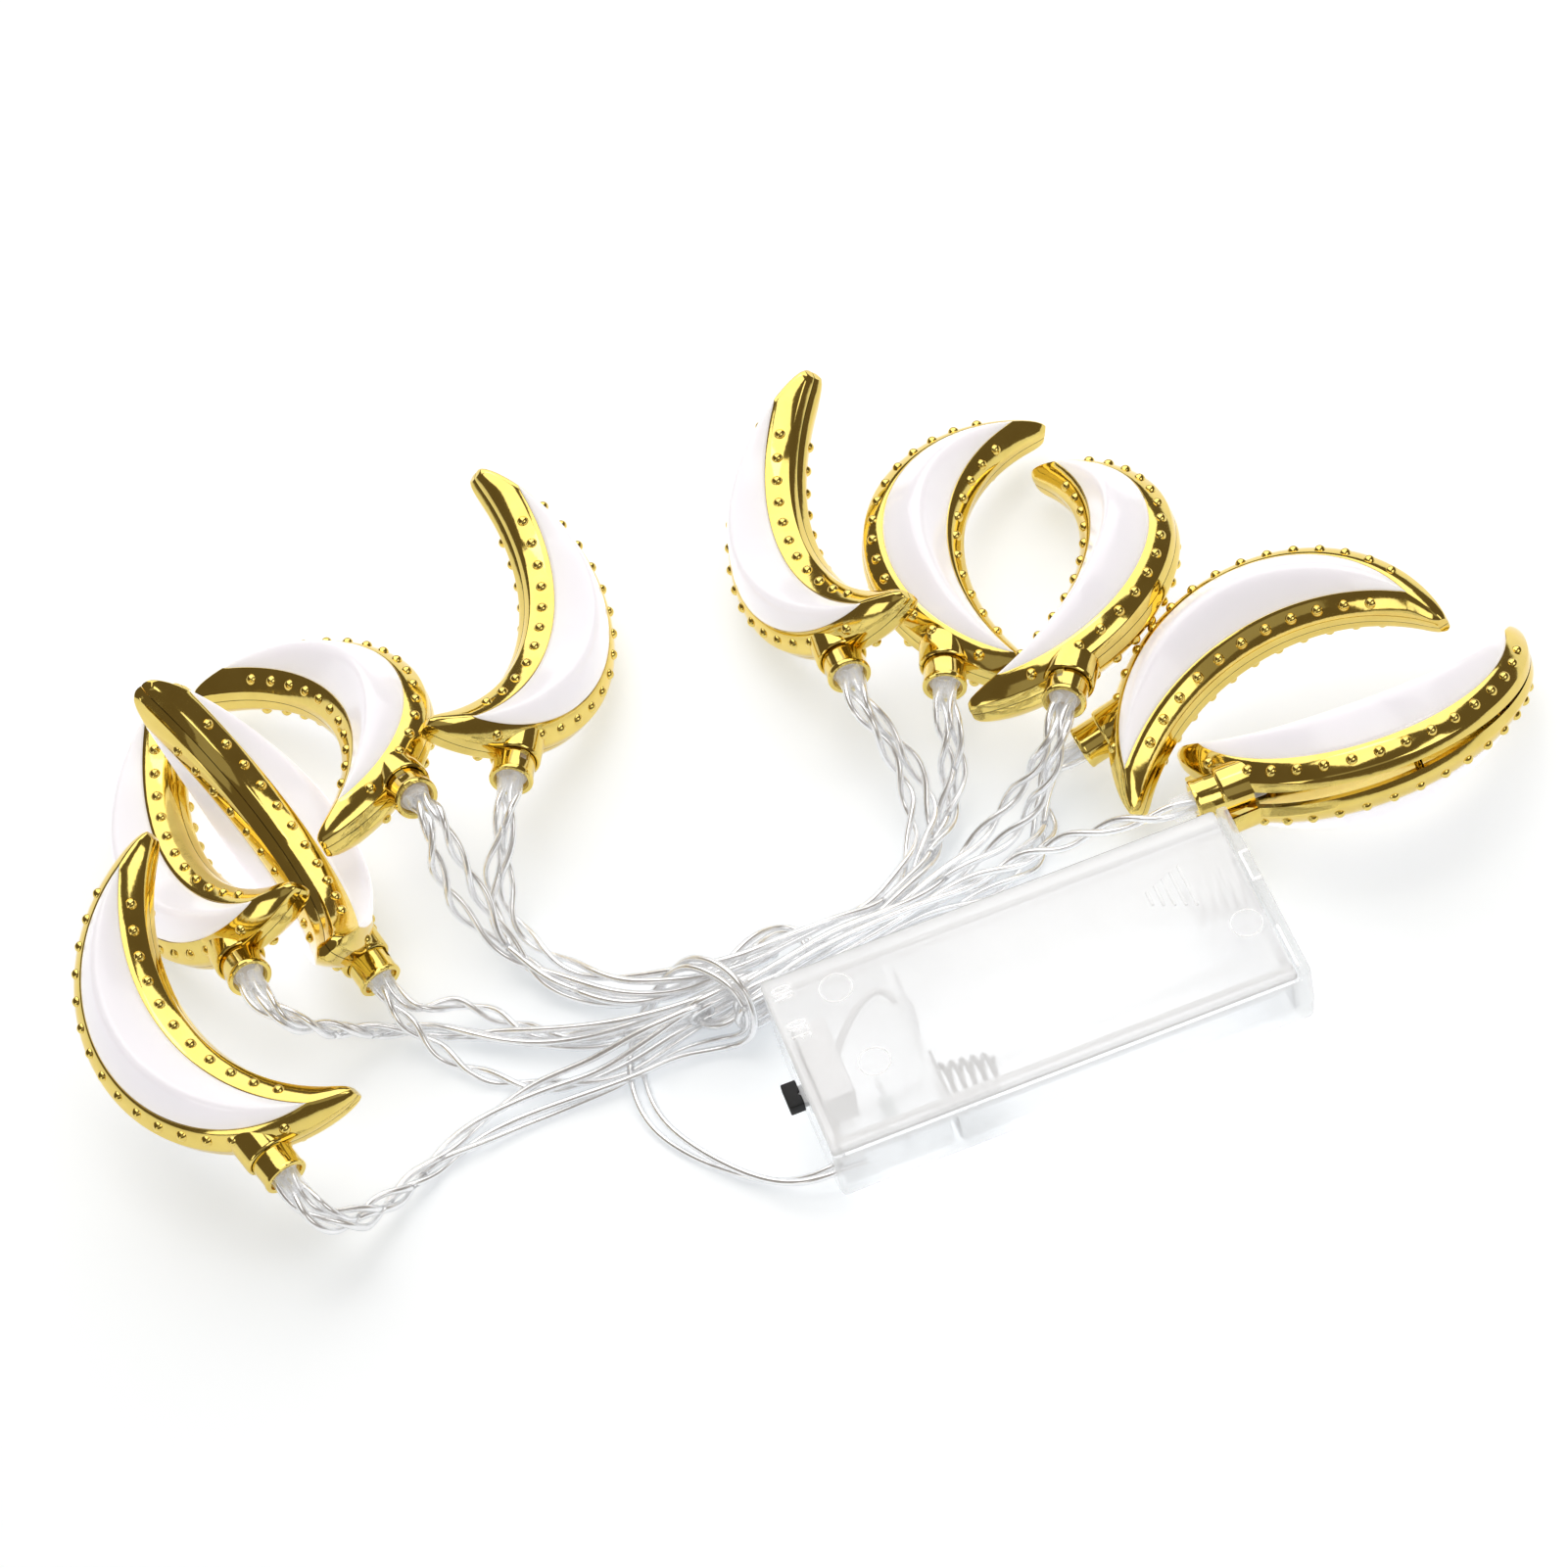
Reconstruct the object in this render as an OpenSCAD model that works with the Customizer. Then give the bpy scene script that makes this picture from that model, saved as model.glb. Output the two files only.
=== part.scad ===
// Moon string lights: ten crescent lights on a two-wire string with a two-cell battery box.
// Millimetres, Z up, everything lies on the plane Z = 0.
// Each moon has its own frame: the centre of its outer arc at the origin, its body towards -X,
// its socket towards -Y, and the parting plane of its two shells at Z = 0.

/* [Moon shells] */
// Radius of the crescent's outer rim
moon_r = 28.3; // [28:0.1:28.6]
// Radius of the crescent's hollow rim
hollow_r = 32.4; // [32.2:0.1:32.6]
// Distance between the centres of the two rims
hollow_shift = 20.2; // [20:0.1:20.4]
// Half of the flat rim's thickness
rim_half = 1.7; // [1.5:0.1:1.9]
// Height of the bevels' upper edge above the parting plane
bevel_top = 4.5; // [4.3:0.1:4.7]
// Width of the outer bevel, seen from the front
outer_bevel = 2.7; // [2.5:0.1:2.9]
// Width of the inner bevel, seen from the front
inner_bevel = 3.0; // [2.8:0.1:3.2]
// Wall thickness of the shells
shell_wall = 1.2; // [1:0.1:1.4]
// Where the tips are cut blunt, along X
tip_cut = 1.1; // [0.5:0.1:1.5]
// Angle that the last moon's shells stand open at the socket end
last_gape = 3; // [0:0.5:3]

/* [Lenses] */
// Slope of the lens's two faces, in degrees
lens_slope = 43.5; // [42:0.5:45]
// Wall thickness of the lens
lens_wall = 1.4; // [1.2:0.1:1.6]
// Depth of the skirt that drops into the shell
lens_skirt = 1.5; // [1:0.1:1.8]

/* [Sockets] */
// Outer radius of the socket tube
socket_r = 3.4; // [3.3:0.1:3.6]
// Radius of the socket's bore
socket_bore = 2.6; // [2.55:0.05:2.7]
// Distance of the socket's axis from the outer rim's centre
socket_x = 15; // [14.5:0.5:15.5]
// Distance of the socket's mouth from the outer rim's centre
socket_end = 29.7; // [29:0.1:30]
// Radius of the light's holder
holder_r = 2.5; // [2.4:0.05:2.5]
// Radius of the holder's snout, which the cords enter
snout_r = 2; // [1.9:0.05:2.2]
// How far the snout stands out of the socket
holder_out = 3.5; // [2:0.5:4]

/* [Battery box] */
// Length of the box
box_l = 75; // [74.5:0.5:76]
// Width of the box
box_w = 33; // [33:0.5:34]
// Height of the box with its cover
box_h = 17.5; // [17.5:0.1:18]
// Thickness of the tray's walls
box_wall = 1.5; // [1.4:0.1:1.6]
// Thickness of the sliding cover
cover_t = 1.5; // [1.3:0.1:1.6]
// Radius of the tray's long lower edges
edge_r = 8; // [7.5:0.5:8]
// Running gap between the cover and the tray
run_gap = 0.3; // [0.2:0.05:0.4]
// Diameter of the coil springs
spring_d = 8; // [7:0.5:9]
// Length of the coil springs
spring_l = 8; // [6:0.5:9]

/* [Switch] */
// Length of the switch knob along its travel
knob_w = 4.8; // [4:0.1:5]
// How far the knob stands out of the box
knob_out = 2.2; // [1.5:0.1:3]
// Travel of the switch knob
knob_travel = 3; // [2:0.5:3]

/* [Cord] */
// Diameter of each two-wire cord
cord_d = 1.8; // [1.6:0.1:2]

/* [Hidden] */
$fn = 48;

// Where each moon lies: the centre of its outer rim, and its turns about X, Y and Z
MOON_POS = [[-86.5, -10, 26], [-79.5, 26.5, 21.85], [-80.5, 16, 28], [-74.5, 34.5, 14.5], [-36.9, 46.5, 22.5],
            [28.5, 39.5, 22.5], [52.5, 25.5, 7.5], [45.5, 19, 9.5], [74, -27, 15], [85.8, -22.2, 6.25]];
MOON_ROT = [[11, -21, 13], [-12, -38, 15], [151, -66, -139], [-162, 2, -167], [-173, -41, 151],
            [-7, -40, 2], [-4, 14, -21], [-170, 19, 153], [16, 2, -87], [178, 29, 87]];
// How far each moon's front shell stands open
MOON_GAPE = [0, 0, 0, 0, 0, 0, 0, 0, 0, last_gape];
// Middle of the battery box's underside; its length lies along X
BOX_POS = [21.25, -56.5, 0];

// Routes of the cords, from the box to the first moon and then from moon to moon
ROUTE_LEAD = [[-11, -67.5, 5], [-16.25, -67.5, 5], [-20, -67, 4], [-25, -63.5, 2], [-30, -58.5, 1.2], [-34.5, -52.5, 1.2],
  [-37.5, -46, 1.2], [-38, -39.5, 1.2], [-36.5, -33, 1.2], [-33.5, -27.5, 1.5], [-29, -24.5, 4.5], [-25, -25.5, 9],
  [-21.5, -30, 11.5], [-19, -35, 11.5], [-18.5, -38.5, 7.5], [-20, -38.5, 3], [-24, -36.5, 1.2], [-31, -35.5, 1.2],
  [-39, -37, 1.5], [-48, -37, 1.2], [-57, -37, 1.2], [-66, -38, 1.2], [-74, -41, 2], [-81, -46, 5], [-86.5, -49.5, 10],
  [-90.8, -48, 14], [-92, -44, 14.8]];
ROUTE_AB = [[-90, -43.5, 15], [-88.8, -47, 14], [-85, -47.5, 9.5], [-78, -43, 4], [-70, -38, 2], [-61, -34, 1.5],
  [-52, -33, 2.5], [-43, -34, 4], [-35, -34, 6.5], [-28, -33, 7], [-25, -32, 4.5], [-28, -31, 2.5], [-35, -30, 2],
  [-43, -28, 1.5], [-52, -23, 1.5], [-62, -17, 2], [-71, -14, 4], [-78, -14, 9], [-84, -14.5, 15], [-87, -12, 18], [-88, -8, 17.5]];
ROUTE_BC = [[-86, -8, 17.5], [-85, -12, 18], [-82, -15, 14.5], [-76, -14.5, 8], [-68, -14.5, 3.5], [-59, -19, 2.5],
  [-49, -25, 3.5], [-39, -29, 5], [-29, -31, 6.5], [-20, -31, 7], [-16, -30.5, 5], [-19, -30, 3], [-28, -29.5, 3],
  [-38, -28.5, 3], [-47, -25, 2], [-54, -18, 2.5], [-59, -13, 4], [-63, -12, 6], [-66, -13, 7.5], [-67, -10.5, 8]];
ROUTE_CD = [[-69, -11, 8], [-68, -14.5, 7], [-66, -17.5, 4.5], [-62.5, -23, 2], [-57, -28.5, 1.2], [-51, -32.5, 1.2],
  [-45, -34.5, 1.2], [-38, -35, 1.5], [-30, -33.5, 2.5], [-21, -31.5, 2], [-12, -28.5, 3], [-7, -27, 5], [-11, -27.5, 7],
  [-19, -29, 7], [-27, -28, 5.5], [-35, -24, 4], [-42, -18, 4], [-48, -11, 5], [-52, -6, 9], [-54.5, -2, 15], [-54.5, 1, 22],
  [-53.5, 4.5, 26], [-54, 8, 25]];
ROUTE_DE = [[-52.2, 8, 25], [-51.5, 4.5, 26], [-51, 0.5, 21], [-50, -3, 13.5], [-48.5, -8, 7], [-46, -14, 3.5],
  [-41, -20.5, 3], [-34, -25.5, 3.5], [-26, -27, 5], [-18, -27, 6], [-11, -25.5, 6], [-7, -24.5, 4], [-11, -24.5, 2],
  [-18, -25.5, 1.5], [-26, -25.5, 1.5], [-34, -23, 1.5], [-41, -18, 1.5], [-46.5, -11, 2], [-49, -4, 3.5], [-48, 2, 7.5],
  [-45, 5.5, 12], [-42.5, 8.5, 15.5], [-41.4, 12, 15.5]];
ROUTE_EF = [[-39.4, 11.5, 15.5], [-41, 8, 16], [-43, 5.5, 12.5], [-45, 3, 8], [-46.5, -1, 4.5], [-45, -7, 3], [-41, -14, 3],
  [-35, -21, 5], [-27, -26, 7.5], [-18, -29, 9], [-9, -28.5, 9], [-1, -27, 7.5], [6, -25, 5], [12, -20, 3.5], [16, -13.5, 3],
  [17.5, -7, 5], [17, -2, 10], [15.5, 1, 14.5], [14.5, 4, 16], [14.5, 7, 15.8]];
ROUTE_FG = [[16.7, 7, 15.8], [16.5, 3, 16], [18, 0, 12.5], [20, -4.5, 8], [20.5, -10, 4.5], [17, -17.5, 3.5], [10, -24, 4],
  [2, -28, 5], [-6, -30.5, 6.5], [-15, -32, 8], [-23, -33, 7.5], [-27, -32.5, 5.5], [-23, -32, 3], [-15, -30.5, 2.5],
  [-6, -29, 2.5], [3, -26.5, 2], [10, -23, 2], [16, -19, 2], [20, -14.5, 2.5], [23, -10, 4.5], [25, -6.5, 8], [26, -3.5, 12],
  [27, 0.7, 13.3]];
ROUTE_GH = [[29, 0.3, 13.3], [28, -3.5, 13.3], [27.5, -6, 9.5], [26, -8.5, 5.5], [23.5, -12, 3], [19, -17, 2.5],
  [13.5, -23, 4], [7, -28, 6], [-1, -31, 6.5], [-10, -33, 6], [-18, -35, 5.5], [-22, -36, 7.5], [-18, -35.5, 9.5],
  [-10, -33, 9.5], [-2, -30.5, 8.5], [7, -28.5, 6.5], [15, -25.5, 5], [22, -22, 5], [28, -19.5, 7], [33.5, -18, 11],
  [37.5, -17.5, 16.5], [39.5, -17, 19.8], [41.3, -14.3, 19.7]];
ROUTE_HI = [[43, -15.4, 19.7], [41, -18.7, 20.2], [38.5, -20.5, 16], [35, -21, 10], [30, -22.5, 6], [23, -24, 4.5],
  [15, -26, 4], [6, -28, 4.5], [-4, -29.5, 5], [-13, -31.5, 5], [-20, -33.5, 4], [-24, -32, 3], [-22, -29.5, 1.5],
  [-15, -29, 1.2], [-6, -28.5, 1.2], [3, -27.5, 1.2], [13, -26.5, 1.5], [22, -26, 1.5], [29, -24.5, 1.5], [34, -21, 1.8],
  [36, -16.5, 2.8], [38.5, -13, 5.4], [42.3, -12.3, 6.7]];
ROUTE_IJ = [[42.3, -14.4, 6.7], [38.5, -14.6, 5.6], [36.5, -17, 3.2], [36, -21, 1.5], [32, -25.5, 1.2], [25, -28, 1.2],
  [16, -29, 2], [6, -30.5, 3], [-4, -32.5, 3.5], [-13, -35, 3.5], [-20, -37, 4], [-24, -37.5, 6], [-21, -37, 8.5],
  [-14, -35.5, 9.5], [-5, -33.5, 9], [5, -31.5, 8], [15, -29.5, 7], [24, -28.5, 6.5], [32, -28.8, 7.5], [38.5, -30.2, 9.5],
  [44.5, -32.2, 11.5], [48.8, -34, 12.4], [52.8, -34.2, 12.5]];

// ---- derived sizes of a moon ----
lens_r = moon_r - outer_bevel;          // upper edge of the outer bevel
lens_hollow_r = hollow_r + inner_bevel; // upper edge of the inner bevel
land = shell_wall * 1.42;               // width of the ledge that carries the lens
fit_gap = 0.15;
GOLD = [0.86, 0.65, 0.13];
MILK = [0.95, 0.93, 0.97];
CLEAR = [0.88, 0.9, 0.92, 0.45];
STEEL = [0.75, 0.76, 0.78];

// ---- derived sizes of the box ----
tray_top = box_h - cover_t - run_gap;
in_w = box_w - 2 * box_wall;
end_t = 1.8;
part_x = -18.6;
part_t = 1.2;
bay_x0 = part_x + part_t / 2;
bay_x1 = box_l / 2 - end_t;
groove_z = 13.2;
groove_h = 1.2;
groove_d = 0.8;
cell_y = 7.5;
cell_z = 8.5;
knob_y = -2.2;
knob_z = 13;
lead_y = -11;
lead_z = 5;

// ---- helpers ----
function unit(v) = v / norm(v);
function tangent(p, i) = i == 0 ? unit(p[1] - p[0]) : i == len(p) - 1 ? unit(p[i] - p[i - 1])
  : unit(unit(p[i + 1] - p[i]) + unit(p[i] - p[i - 1]));
// Sideways direction at each point, carried along the route so that the tube doesn't twist
function sideways(p, i = 0, s = undef, acc = []) = i == len(p) ? acc
  : let (t = tangent(p, i), s0 = i == 0 ? cross(t, abs(t[2]) > 0.9 ? [1, 0, 0] : [0, 0, 1]) : s, s1 = unit(s0 - (s0 * t) * t))
    sideways(p, i + 1, s1, concat(acc, [s1]));
// A closed tube of radius r with n sides along the points p
module tube(p, r, n) {
  s = sideways(p);
  m = len(p);
  pts = [for (i = [0:m - 1]) let (t = tangent(p, i), b = cross(t, s[i])) for (k = [0:n - 1])
    p[i] + r * (cos(360 * k / n) * s[i] + sin(360 * k / n) * b)];
  polyhedron(points = pts, faces = concat(
    [[for (k = [0:n - 1]) k]],
    [[for (k = [n - 1:-1:0]) (m - 1) * n + k]],
    [for (i = [0:m - 2]) for (k = [0:n - 1]) [i * n + k, (i + 1) * n + k, (i + 1) * n + (k + 1) % n]],
    [for (i = [0:m - 2]) for (k = [0:n - 1]) [i * n + k, (i + 1) * n + (k + 1) % n, i * n + (k + 1) % n]]));
}
module on_moon(i) translate(MOON_POS[i]) rotate(MOON_ROT[i]) children();
module in_box() translate(BOX_POS) children();
// Swings a shell open about the tip away from the socket
module gaped(i) translate([0, moon_r, 0]) rotate([-MOON_GAPE[i], 0, 0]) translate([0, -moon_r, 0]) children();
// Round bar along Y at the socket's place, from y0 to y1
module socket_bar(r, y0, y1) translate([-socket_x, y1, 0]) rotate([90, 0, 0]) cylinder(r = r, h = y1 - y0);

// ---- one half of a crescent, standing on its parting plane ----
module half_body() {
  difference() {
    rotate_extrude() polygon([[0, 0], [moon_r, 0], [moon_r, rim_half], [lens_r, bevel_top], [0, bevel_top]]);
    translate([hollow_shift, 0, 0])
      rotate_extrude() polygon([[0, -1], [hollow_r, -1], [hollow_r, rim_half], [lens_hollow_r, bevel_top], [lens_hollow_r, bevel_top + 1], [0, bevel_top + 1]]);
    translate([tip_cut, -40, -1]) cube([40, 80, 10]);
  }
}
// Hollow of one half, open at the parting plane and at the lens
module half_hollow() {
  difference() {
    rotate_extrude() polygon([[0, -1], [moon_r - shell_wall, -1], [moon_r - shell_wall, rim_half - 0.5], [lens_r - land, bevel_top], [lens_r - land, bevel_top + 1], [0, bevel_top + 1]]);
    translate([hollow_shift, 0, -2])
      rotate_extrude() polygon([[0, 0], [hollow_r + shell_wall, 0], [hollow_r + shell_wall, rim_half + 1.5], [lens_hollow_r + land, bevel_top + 2], [lens_hollow_r + land, bevel_top + 4], [0, bevel_top + 4]]);
    translate([-6, -40, -3]) cube([60, 80, 12]);
  }
}
// Bosses for the two pegs that line the shells up
PEGS = [[-25.3, 3], [-16, 19.6]];
module front_shell(i) color(GOLD) on_moon(i) gaped(i) {
  difference() {
    union() {
      half_body();
      // saddle over the socket tube
      intersection() {
        socket_bar(socket_r + 1.1, -25.6, -20);
        translate([-40, -40, 0]) cube([80, 80, bevel_top - 0.05]);
      }
    }
    difference() {
      half_hollow();
      for (p = PEGS) translate([p[0], p[1], -2]) cylinder(r = 1.5, h = 5);
    }
    socket_bar(socket_r + 0.1, -40, -19);
  }
  for (p = PEGS) translate([p[0], p[1], -1.4]) cylinder(r = 0.65, h = 2);
}
module rear_shell(i) color(GOLD) on_moon(i) {
  difference() {
    union() {
      mirror([0, 0, 1]) difference() {
        half_body();
        difference() {
          half_hollow();
          for (p = PEGS) translate([p[0], p[1], -2]) cylinder(r = 1.5, h = 5);
        }
      }
      socket_bar(socket_r, -socket_end, -21);
      // rolled lip at the mouth
      socket_bar(socket_r + 0.25, -socket_end, -socket_end + 0.8);
    }
    socket_bar(socket_bore, -40, -18);
    for (p = PEGS) translate([p[0], p[1], -2]) cylinder(r = 0.75, h = 4);
    // window for the snap of the light's holder
    translate([-socket_x - 0.8, -26.6, -6]) cube([1.6, 1.6, 5]);
  }
}
// Solid under a lens's two faces, which rise from the bevels and meet along the crest
module gable(inset) {
  run = 8 / tan(lens_slope);
  intersection() {
    rotate_extrude() polygon([[0, bevel_top], [lens_r - inset, bevel_top], [lens_r - inset - run, bevel_top + 8], [0, bevel_top + 8]]);
    translate([hollow_shift, 0, 0])
      rotate_extrude() polygon([[lens_hollow_r + inset, bevel_top], [70, bevel_top], [70, bevel_top + 8], [lens_hollow_r + inset + run, bevel_top + 8]]);
  }
}
// Upright crescent between two inset radii, for the skirt and its opening
module crescent_plug(inset, z0, z1) {
  difference() {
    translate([0, 0, z0]) cylinder(r = lens_r - inset, h = z1 - z0);
    translate([hollow_shift, 0, z0 - 1]) cylinder(r = lens_hollow_r + inset, h = z1 - z0 + 2);
  }
}
module lens() {
  difference() {
    union() {
      gable(0);
      crescent_plug(land + fit_gap, bevel_top - lens_skirt, bevel_top + 0.5);
    }
    intersection() {
      gable(lens_wall / sin(lens_slope));
      translate([-40, -40, bevel_top + 1.2]) cube([80, 80, 20]);
    }
    crescent_plug(land + fit_gap + 1.1, bevel_top - lens_skirt - 1, bevel_top + 1.3);
  }
}
module lenses(i) color(MILK) {
  on_moon(i) gaped(i) lens();
  on_moon(i) mirror([0, 0, 1]) lens();
}
module led(i) color(CLEAR) on_moon(i) {
  socket_bar(holder_r, -socket_end + 0.7, -18.5);
  socket_bar(snout_r, -socket_end - holder_out, -socket_end + 0.8);
  socket_bar(1.9, -18.6, -17.6);
  socket_bar(1.5, -17.7, -15);
  translate([-socket_x, -15.2, 0]) sphere(r = 1.6);
}

// ---- battery box ----
// Trough with rounded lower long edges
module trough(x0, x1, w, z0, z1, r) {
  translate([x0, -w / 2 + r, z0]) cube([x1 - x0, w - 2 * r, z1 - z0]);
  translate([x0, -w / 2, z0 + r]) cube([x1 - x0, w, z1 - z0 - r]);
  for (s = [-1, 1]) translate([x0, s * (w / 2 - r), z0 + r]) rotate([0, 90, 0]) cylinder(r = r, h = x1 - x0);
}
module battery_tray() color(CLEAR) in_box() {
  difference() {
    union() {
      trough(-box_l / 2, box_l / 2, box_w, 0, tray_top, edge_r);
      translate([bay_x1, -box_w / 2, edge_r]) cube([end_t, box_w, box_h - edge_r]);
    }
    difference() {
      union() {
        trough(bay_x0, bay_x1, in_w, 1, box_h + 5, edge_r - 1);
        trough(-box_l / 2 + box_wall, part_x - part_t / 2, in_w, 1, box_h + 5, edge_r - 1);
      }
      // rib between the two cells, and posts under the switch
      translate([bay_x0 + 6, -0.5, 0]) cube([bay_x1 - bay_x0 - 12, 1, 3]);
      for (y = [-5.2, 6.4]) translate([-35, y, 0]) cube([4, 1.4, 9.4]);
    }
    // low partition between the cells and the switch room
    translate([part_x - 2, -in_w / 2, 12.4]) cube([4, in_w, 10]);
    for (s = [-1, 1]) {
      // groove for the cover's tongue, open at the switch end
      translate([-box_l / 2 - 1, s > 0 ? in_w / 2 - 0.1 : -in_w / 2 - groove_d, groove_z]) cube([bay_x1 + box_l / 2 + 1, groove_d + 0.1, groove_h]);
      // way through the end wall for the cover's rib
      translate([-box_l / 2 - 1, s > 0 ? 13.2 : -in_w / 2 - 0.1, groove_z]) cube([box_wall + 1.2, in_w / 2 - 13.2 + 0.1, 10]);
    }
    // slot for the switch knob
    translate([-box_l / 2 - 1, knob_y - knob_w / 2 - 0.3, knob_z - 1.3]) cube([box_wall + 1.2, knob_w + knob_travel + 0.6, 2.6]);
    // hole for the lead
    translate([-box_l / 2 - 1, lead_y, lead_z]) rotate([0, 90, 0]) cylinder(r = cord_d / 2 + 0.3, h = 4);
  }
}
module battery_cover() color(CLEAR) in_box() {
  translate([-box_l / 2, -box_w / 2, box_h - cover_t]) cube([bay_x1 + box_l / 2 - run_gap, box_w, cover_t]);
  for (s = [-1, 1]) {
    translate([-box_l / 2 + 2, s > 0 ? 13.6 : -14.7, groove_z + 0.3]) cube([bay_x1 + box_l / 2 - 2.6, 1.1, box_h - cover_t - groove_z - 0.3]);
    translate([-box_l / 2 + 2, s > 0 ? 14.6 : -15.5, groove_z + 0.3]) cube([bay_x1 + box_l / 2 - 2.6, 0.9, 0.6]);
  }
  // thumb ribs in an arrow that points the way the cover slides
  for (k = [0:4]) translate([22.5 + 1.5 * k, 4 - 0.7 * k - 0.7, box_h - 0.1]) cube([0.7, 1.4 + 1.4 * k, 0.5]);
}
module switch_body() color([0.12, 0.12, 0.13]) in_box() {
  difference() {
    translate([-35.6, -6.5, 9.4]) cube([5.2, 14.5, 6]);
    translate([-36, knob_y - knob_w / 2 - 0.8, knob_z - 1.9]) cube([3, knob_w + knob_travel + 1.6, 3.8]);
  }
  for (y = [-2, 1.5, 5]) translate([-32.8, y, 6.4]) cube([0.4, 1, 3.1]);
}
module switch_slider() color([0.05, 0.05, 0.05]) in_box() {
  translate([-box_l / 2 - knob_out, knob_y - knob_w / 2, knob_z - 1]) cube([knob_out + 2.4, knob_w, 2]);
  translate([-35.3, knob_y - knob_w / 2 - 0.5, knob_z - 1.5]) cube([1.9, knob_w + 1, 3]);
}
// Helical spring along X, from x0 towards +X or -X
module coil(x0, dir, y) {
  turns = 5;
  n = 12;
  tube([for (k = [0:turns * n]) [x0 + dir * spring_l * k / (turns * n), y + (spring_d / 2 - k / (turns * n)) * cos(360 * k / n), cell_z + (spring_d / 2 - k / (turns * n)) * sin(360 * k / n)]], 0.35, 6);
}
module negative_plate() color(STEEL) in_box() translate([bay_x0 + 0.05, -cell_y - 5, 3]) cube([0.4, 10, 9.6]);
module negative_spring() color(STEEL) in_box() coil(bay_x0 + 0.85, 1, -cell_y);
module positive_plate() color(STEEL) in_box() {
  translate([bay_x0 + 0.05, cell_y - 5, 3]) cube([0.4, 10, 9.6]);
  translate([bay_x0 + 0.4, cell_y, cell_z]) rotate([0, 90, 0]) cylinder(r = 2.4, h = 0.8);
}
module bridge_plate() color(STEEL) in_box() {
  translate([bay_x1 - 0.45, -cell_y - 5, 3]) cube([0.4, 2 * cell_y + 10, 9.6]);
  translate([bay_x1 - 1.2, -cell_y, cell_z]) rotate([0, 90, 0]) cylinder(r = 2.4, h = 0.8);
}
module bridge_spring() color(STEEL) in_box() coil(bay_x1 - 0.85, -1, cell_y);
module resistor() color([0.35, 0.6, 0.7]) in_box() translate([-25, -6, 2.6]) rotate([-90, 0, 0]) {
  cylinder(r = 1.1, h = 6);
  translate([0, 0, -3]) cylinder(r = 0.3, h = 12);
}

// ---- cords ----
module cord(route) color([0.9, 0.91, 0.93]) tube(route, cord_d / 2, 8);

front_shell(0);  // moon_a_front_shell
rear_shell(0);  // moon_a_rear_shell
lenses(0);  // moon_a_lenses
led(0);  // moon_a_led
front_shell(1);  // moon_b_front_shell
rear_shell(1);  // moon_b_rear_shell
lenses(1);  // moon_b_lenses
led(1);  // moon_b_led
front_shell(2);  // moon_c_front_shell
rear_shell(2);  // moon_c_rear_shell
lenses(2);  // moon_c_lenses
led(2);  // moon_c_led
front_shell(3);  // moon_d_front_shell
rear_shell(3);  // moon_d_rear_shell
lenses(3);  // moon_d_lenses
led(3);  // moon_d_led
front_shell(4);  // moon_e_front_shell
rear_shell(4);  // moon_e_rear_shell
lenses(4);  // moon_e_lenses
led(4);  // moon_e_led
front_shell(5);  // moon_f_front_shell
rear_shell(5);  // moon_f_rear_shell
lenses(5);  // moon_f_lenses
led(5);  // moon_f_led
front_shell(6);  // moon_g_front_shell
rear_shell(6);  // moon_g_rear_shell
lenses(6);  // moon_g_lenses
led(6);  // moon_g_led
front_shell(7);  // moon_h_front_shell
rear_shell(7);  // moon_h_rear_shell
lenses(7);  // moon_h_lenses
led(7);  // moon_h_led
front_shell(8);  // moon_i_front_shell
rear_shell(8);  // moon_i_rear_shell
lenses(8);  // moon_i_lenses
led(8);  // moon_i_led
front_shell(9);  // moon_j_front_shell
rear_shell(9);  // moon_j_rear_shell
lenses(9);  // moon_j_lenses
led(9);  // moon_j_led
battery_tray();
battery_cover();
switch_body();
switch_slider();
negative_plate();
negative_spring();
positive_plate();
bridge_plate();
bridge_spring();
resistor();
cord(ROUTE_LEAD);  // cord_lead
cord(ROUTE_AB);  // cord_ab
cord(ROUTE_BC);  // cord_bc
cord(ROUTE_CD);  // cord_cd
cord(ROUTE_DE);  // cord_de
cord(ROUTE_EF);  // cord_ef
cord(ROUTE_FG);  // cord_fg
cord(ROUTE_GH);  // cord_gh
cord(ROUTE_HI);  // cord_hi
cord(ROUTE_IJ);  // cord_ij
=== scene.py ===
import math
import bpy
import bmesh
from mathutils import Matrix, Vector


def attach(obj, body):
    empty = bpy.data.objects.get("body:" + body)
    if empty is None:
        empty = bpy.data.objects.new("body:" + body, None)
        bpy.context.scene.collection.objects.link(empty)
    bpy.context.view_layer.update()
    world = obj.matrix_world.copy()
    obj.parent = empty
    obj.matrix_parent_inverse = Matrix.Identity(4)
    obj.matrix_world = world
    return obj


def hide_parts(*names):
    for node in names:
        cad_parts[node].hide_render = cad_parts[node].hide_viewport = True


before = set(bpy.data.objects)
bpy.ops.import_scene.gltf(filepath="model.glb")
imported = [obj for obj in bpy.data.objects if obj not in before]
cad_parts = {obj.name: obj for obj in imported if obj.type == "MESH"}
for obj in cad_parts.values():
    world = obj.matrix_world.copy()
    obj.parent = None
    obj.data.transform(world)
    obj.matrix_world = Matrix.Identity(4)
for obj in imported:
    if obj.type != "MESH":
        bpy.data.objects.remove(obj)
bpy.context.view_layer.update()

MM = 0.001
sc = bpy.context.scene

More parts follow.
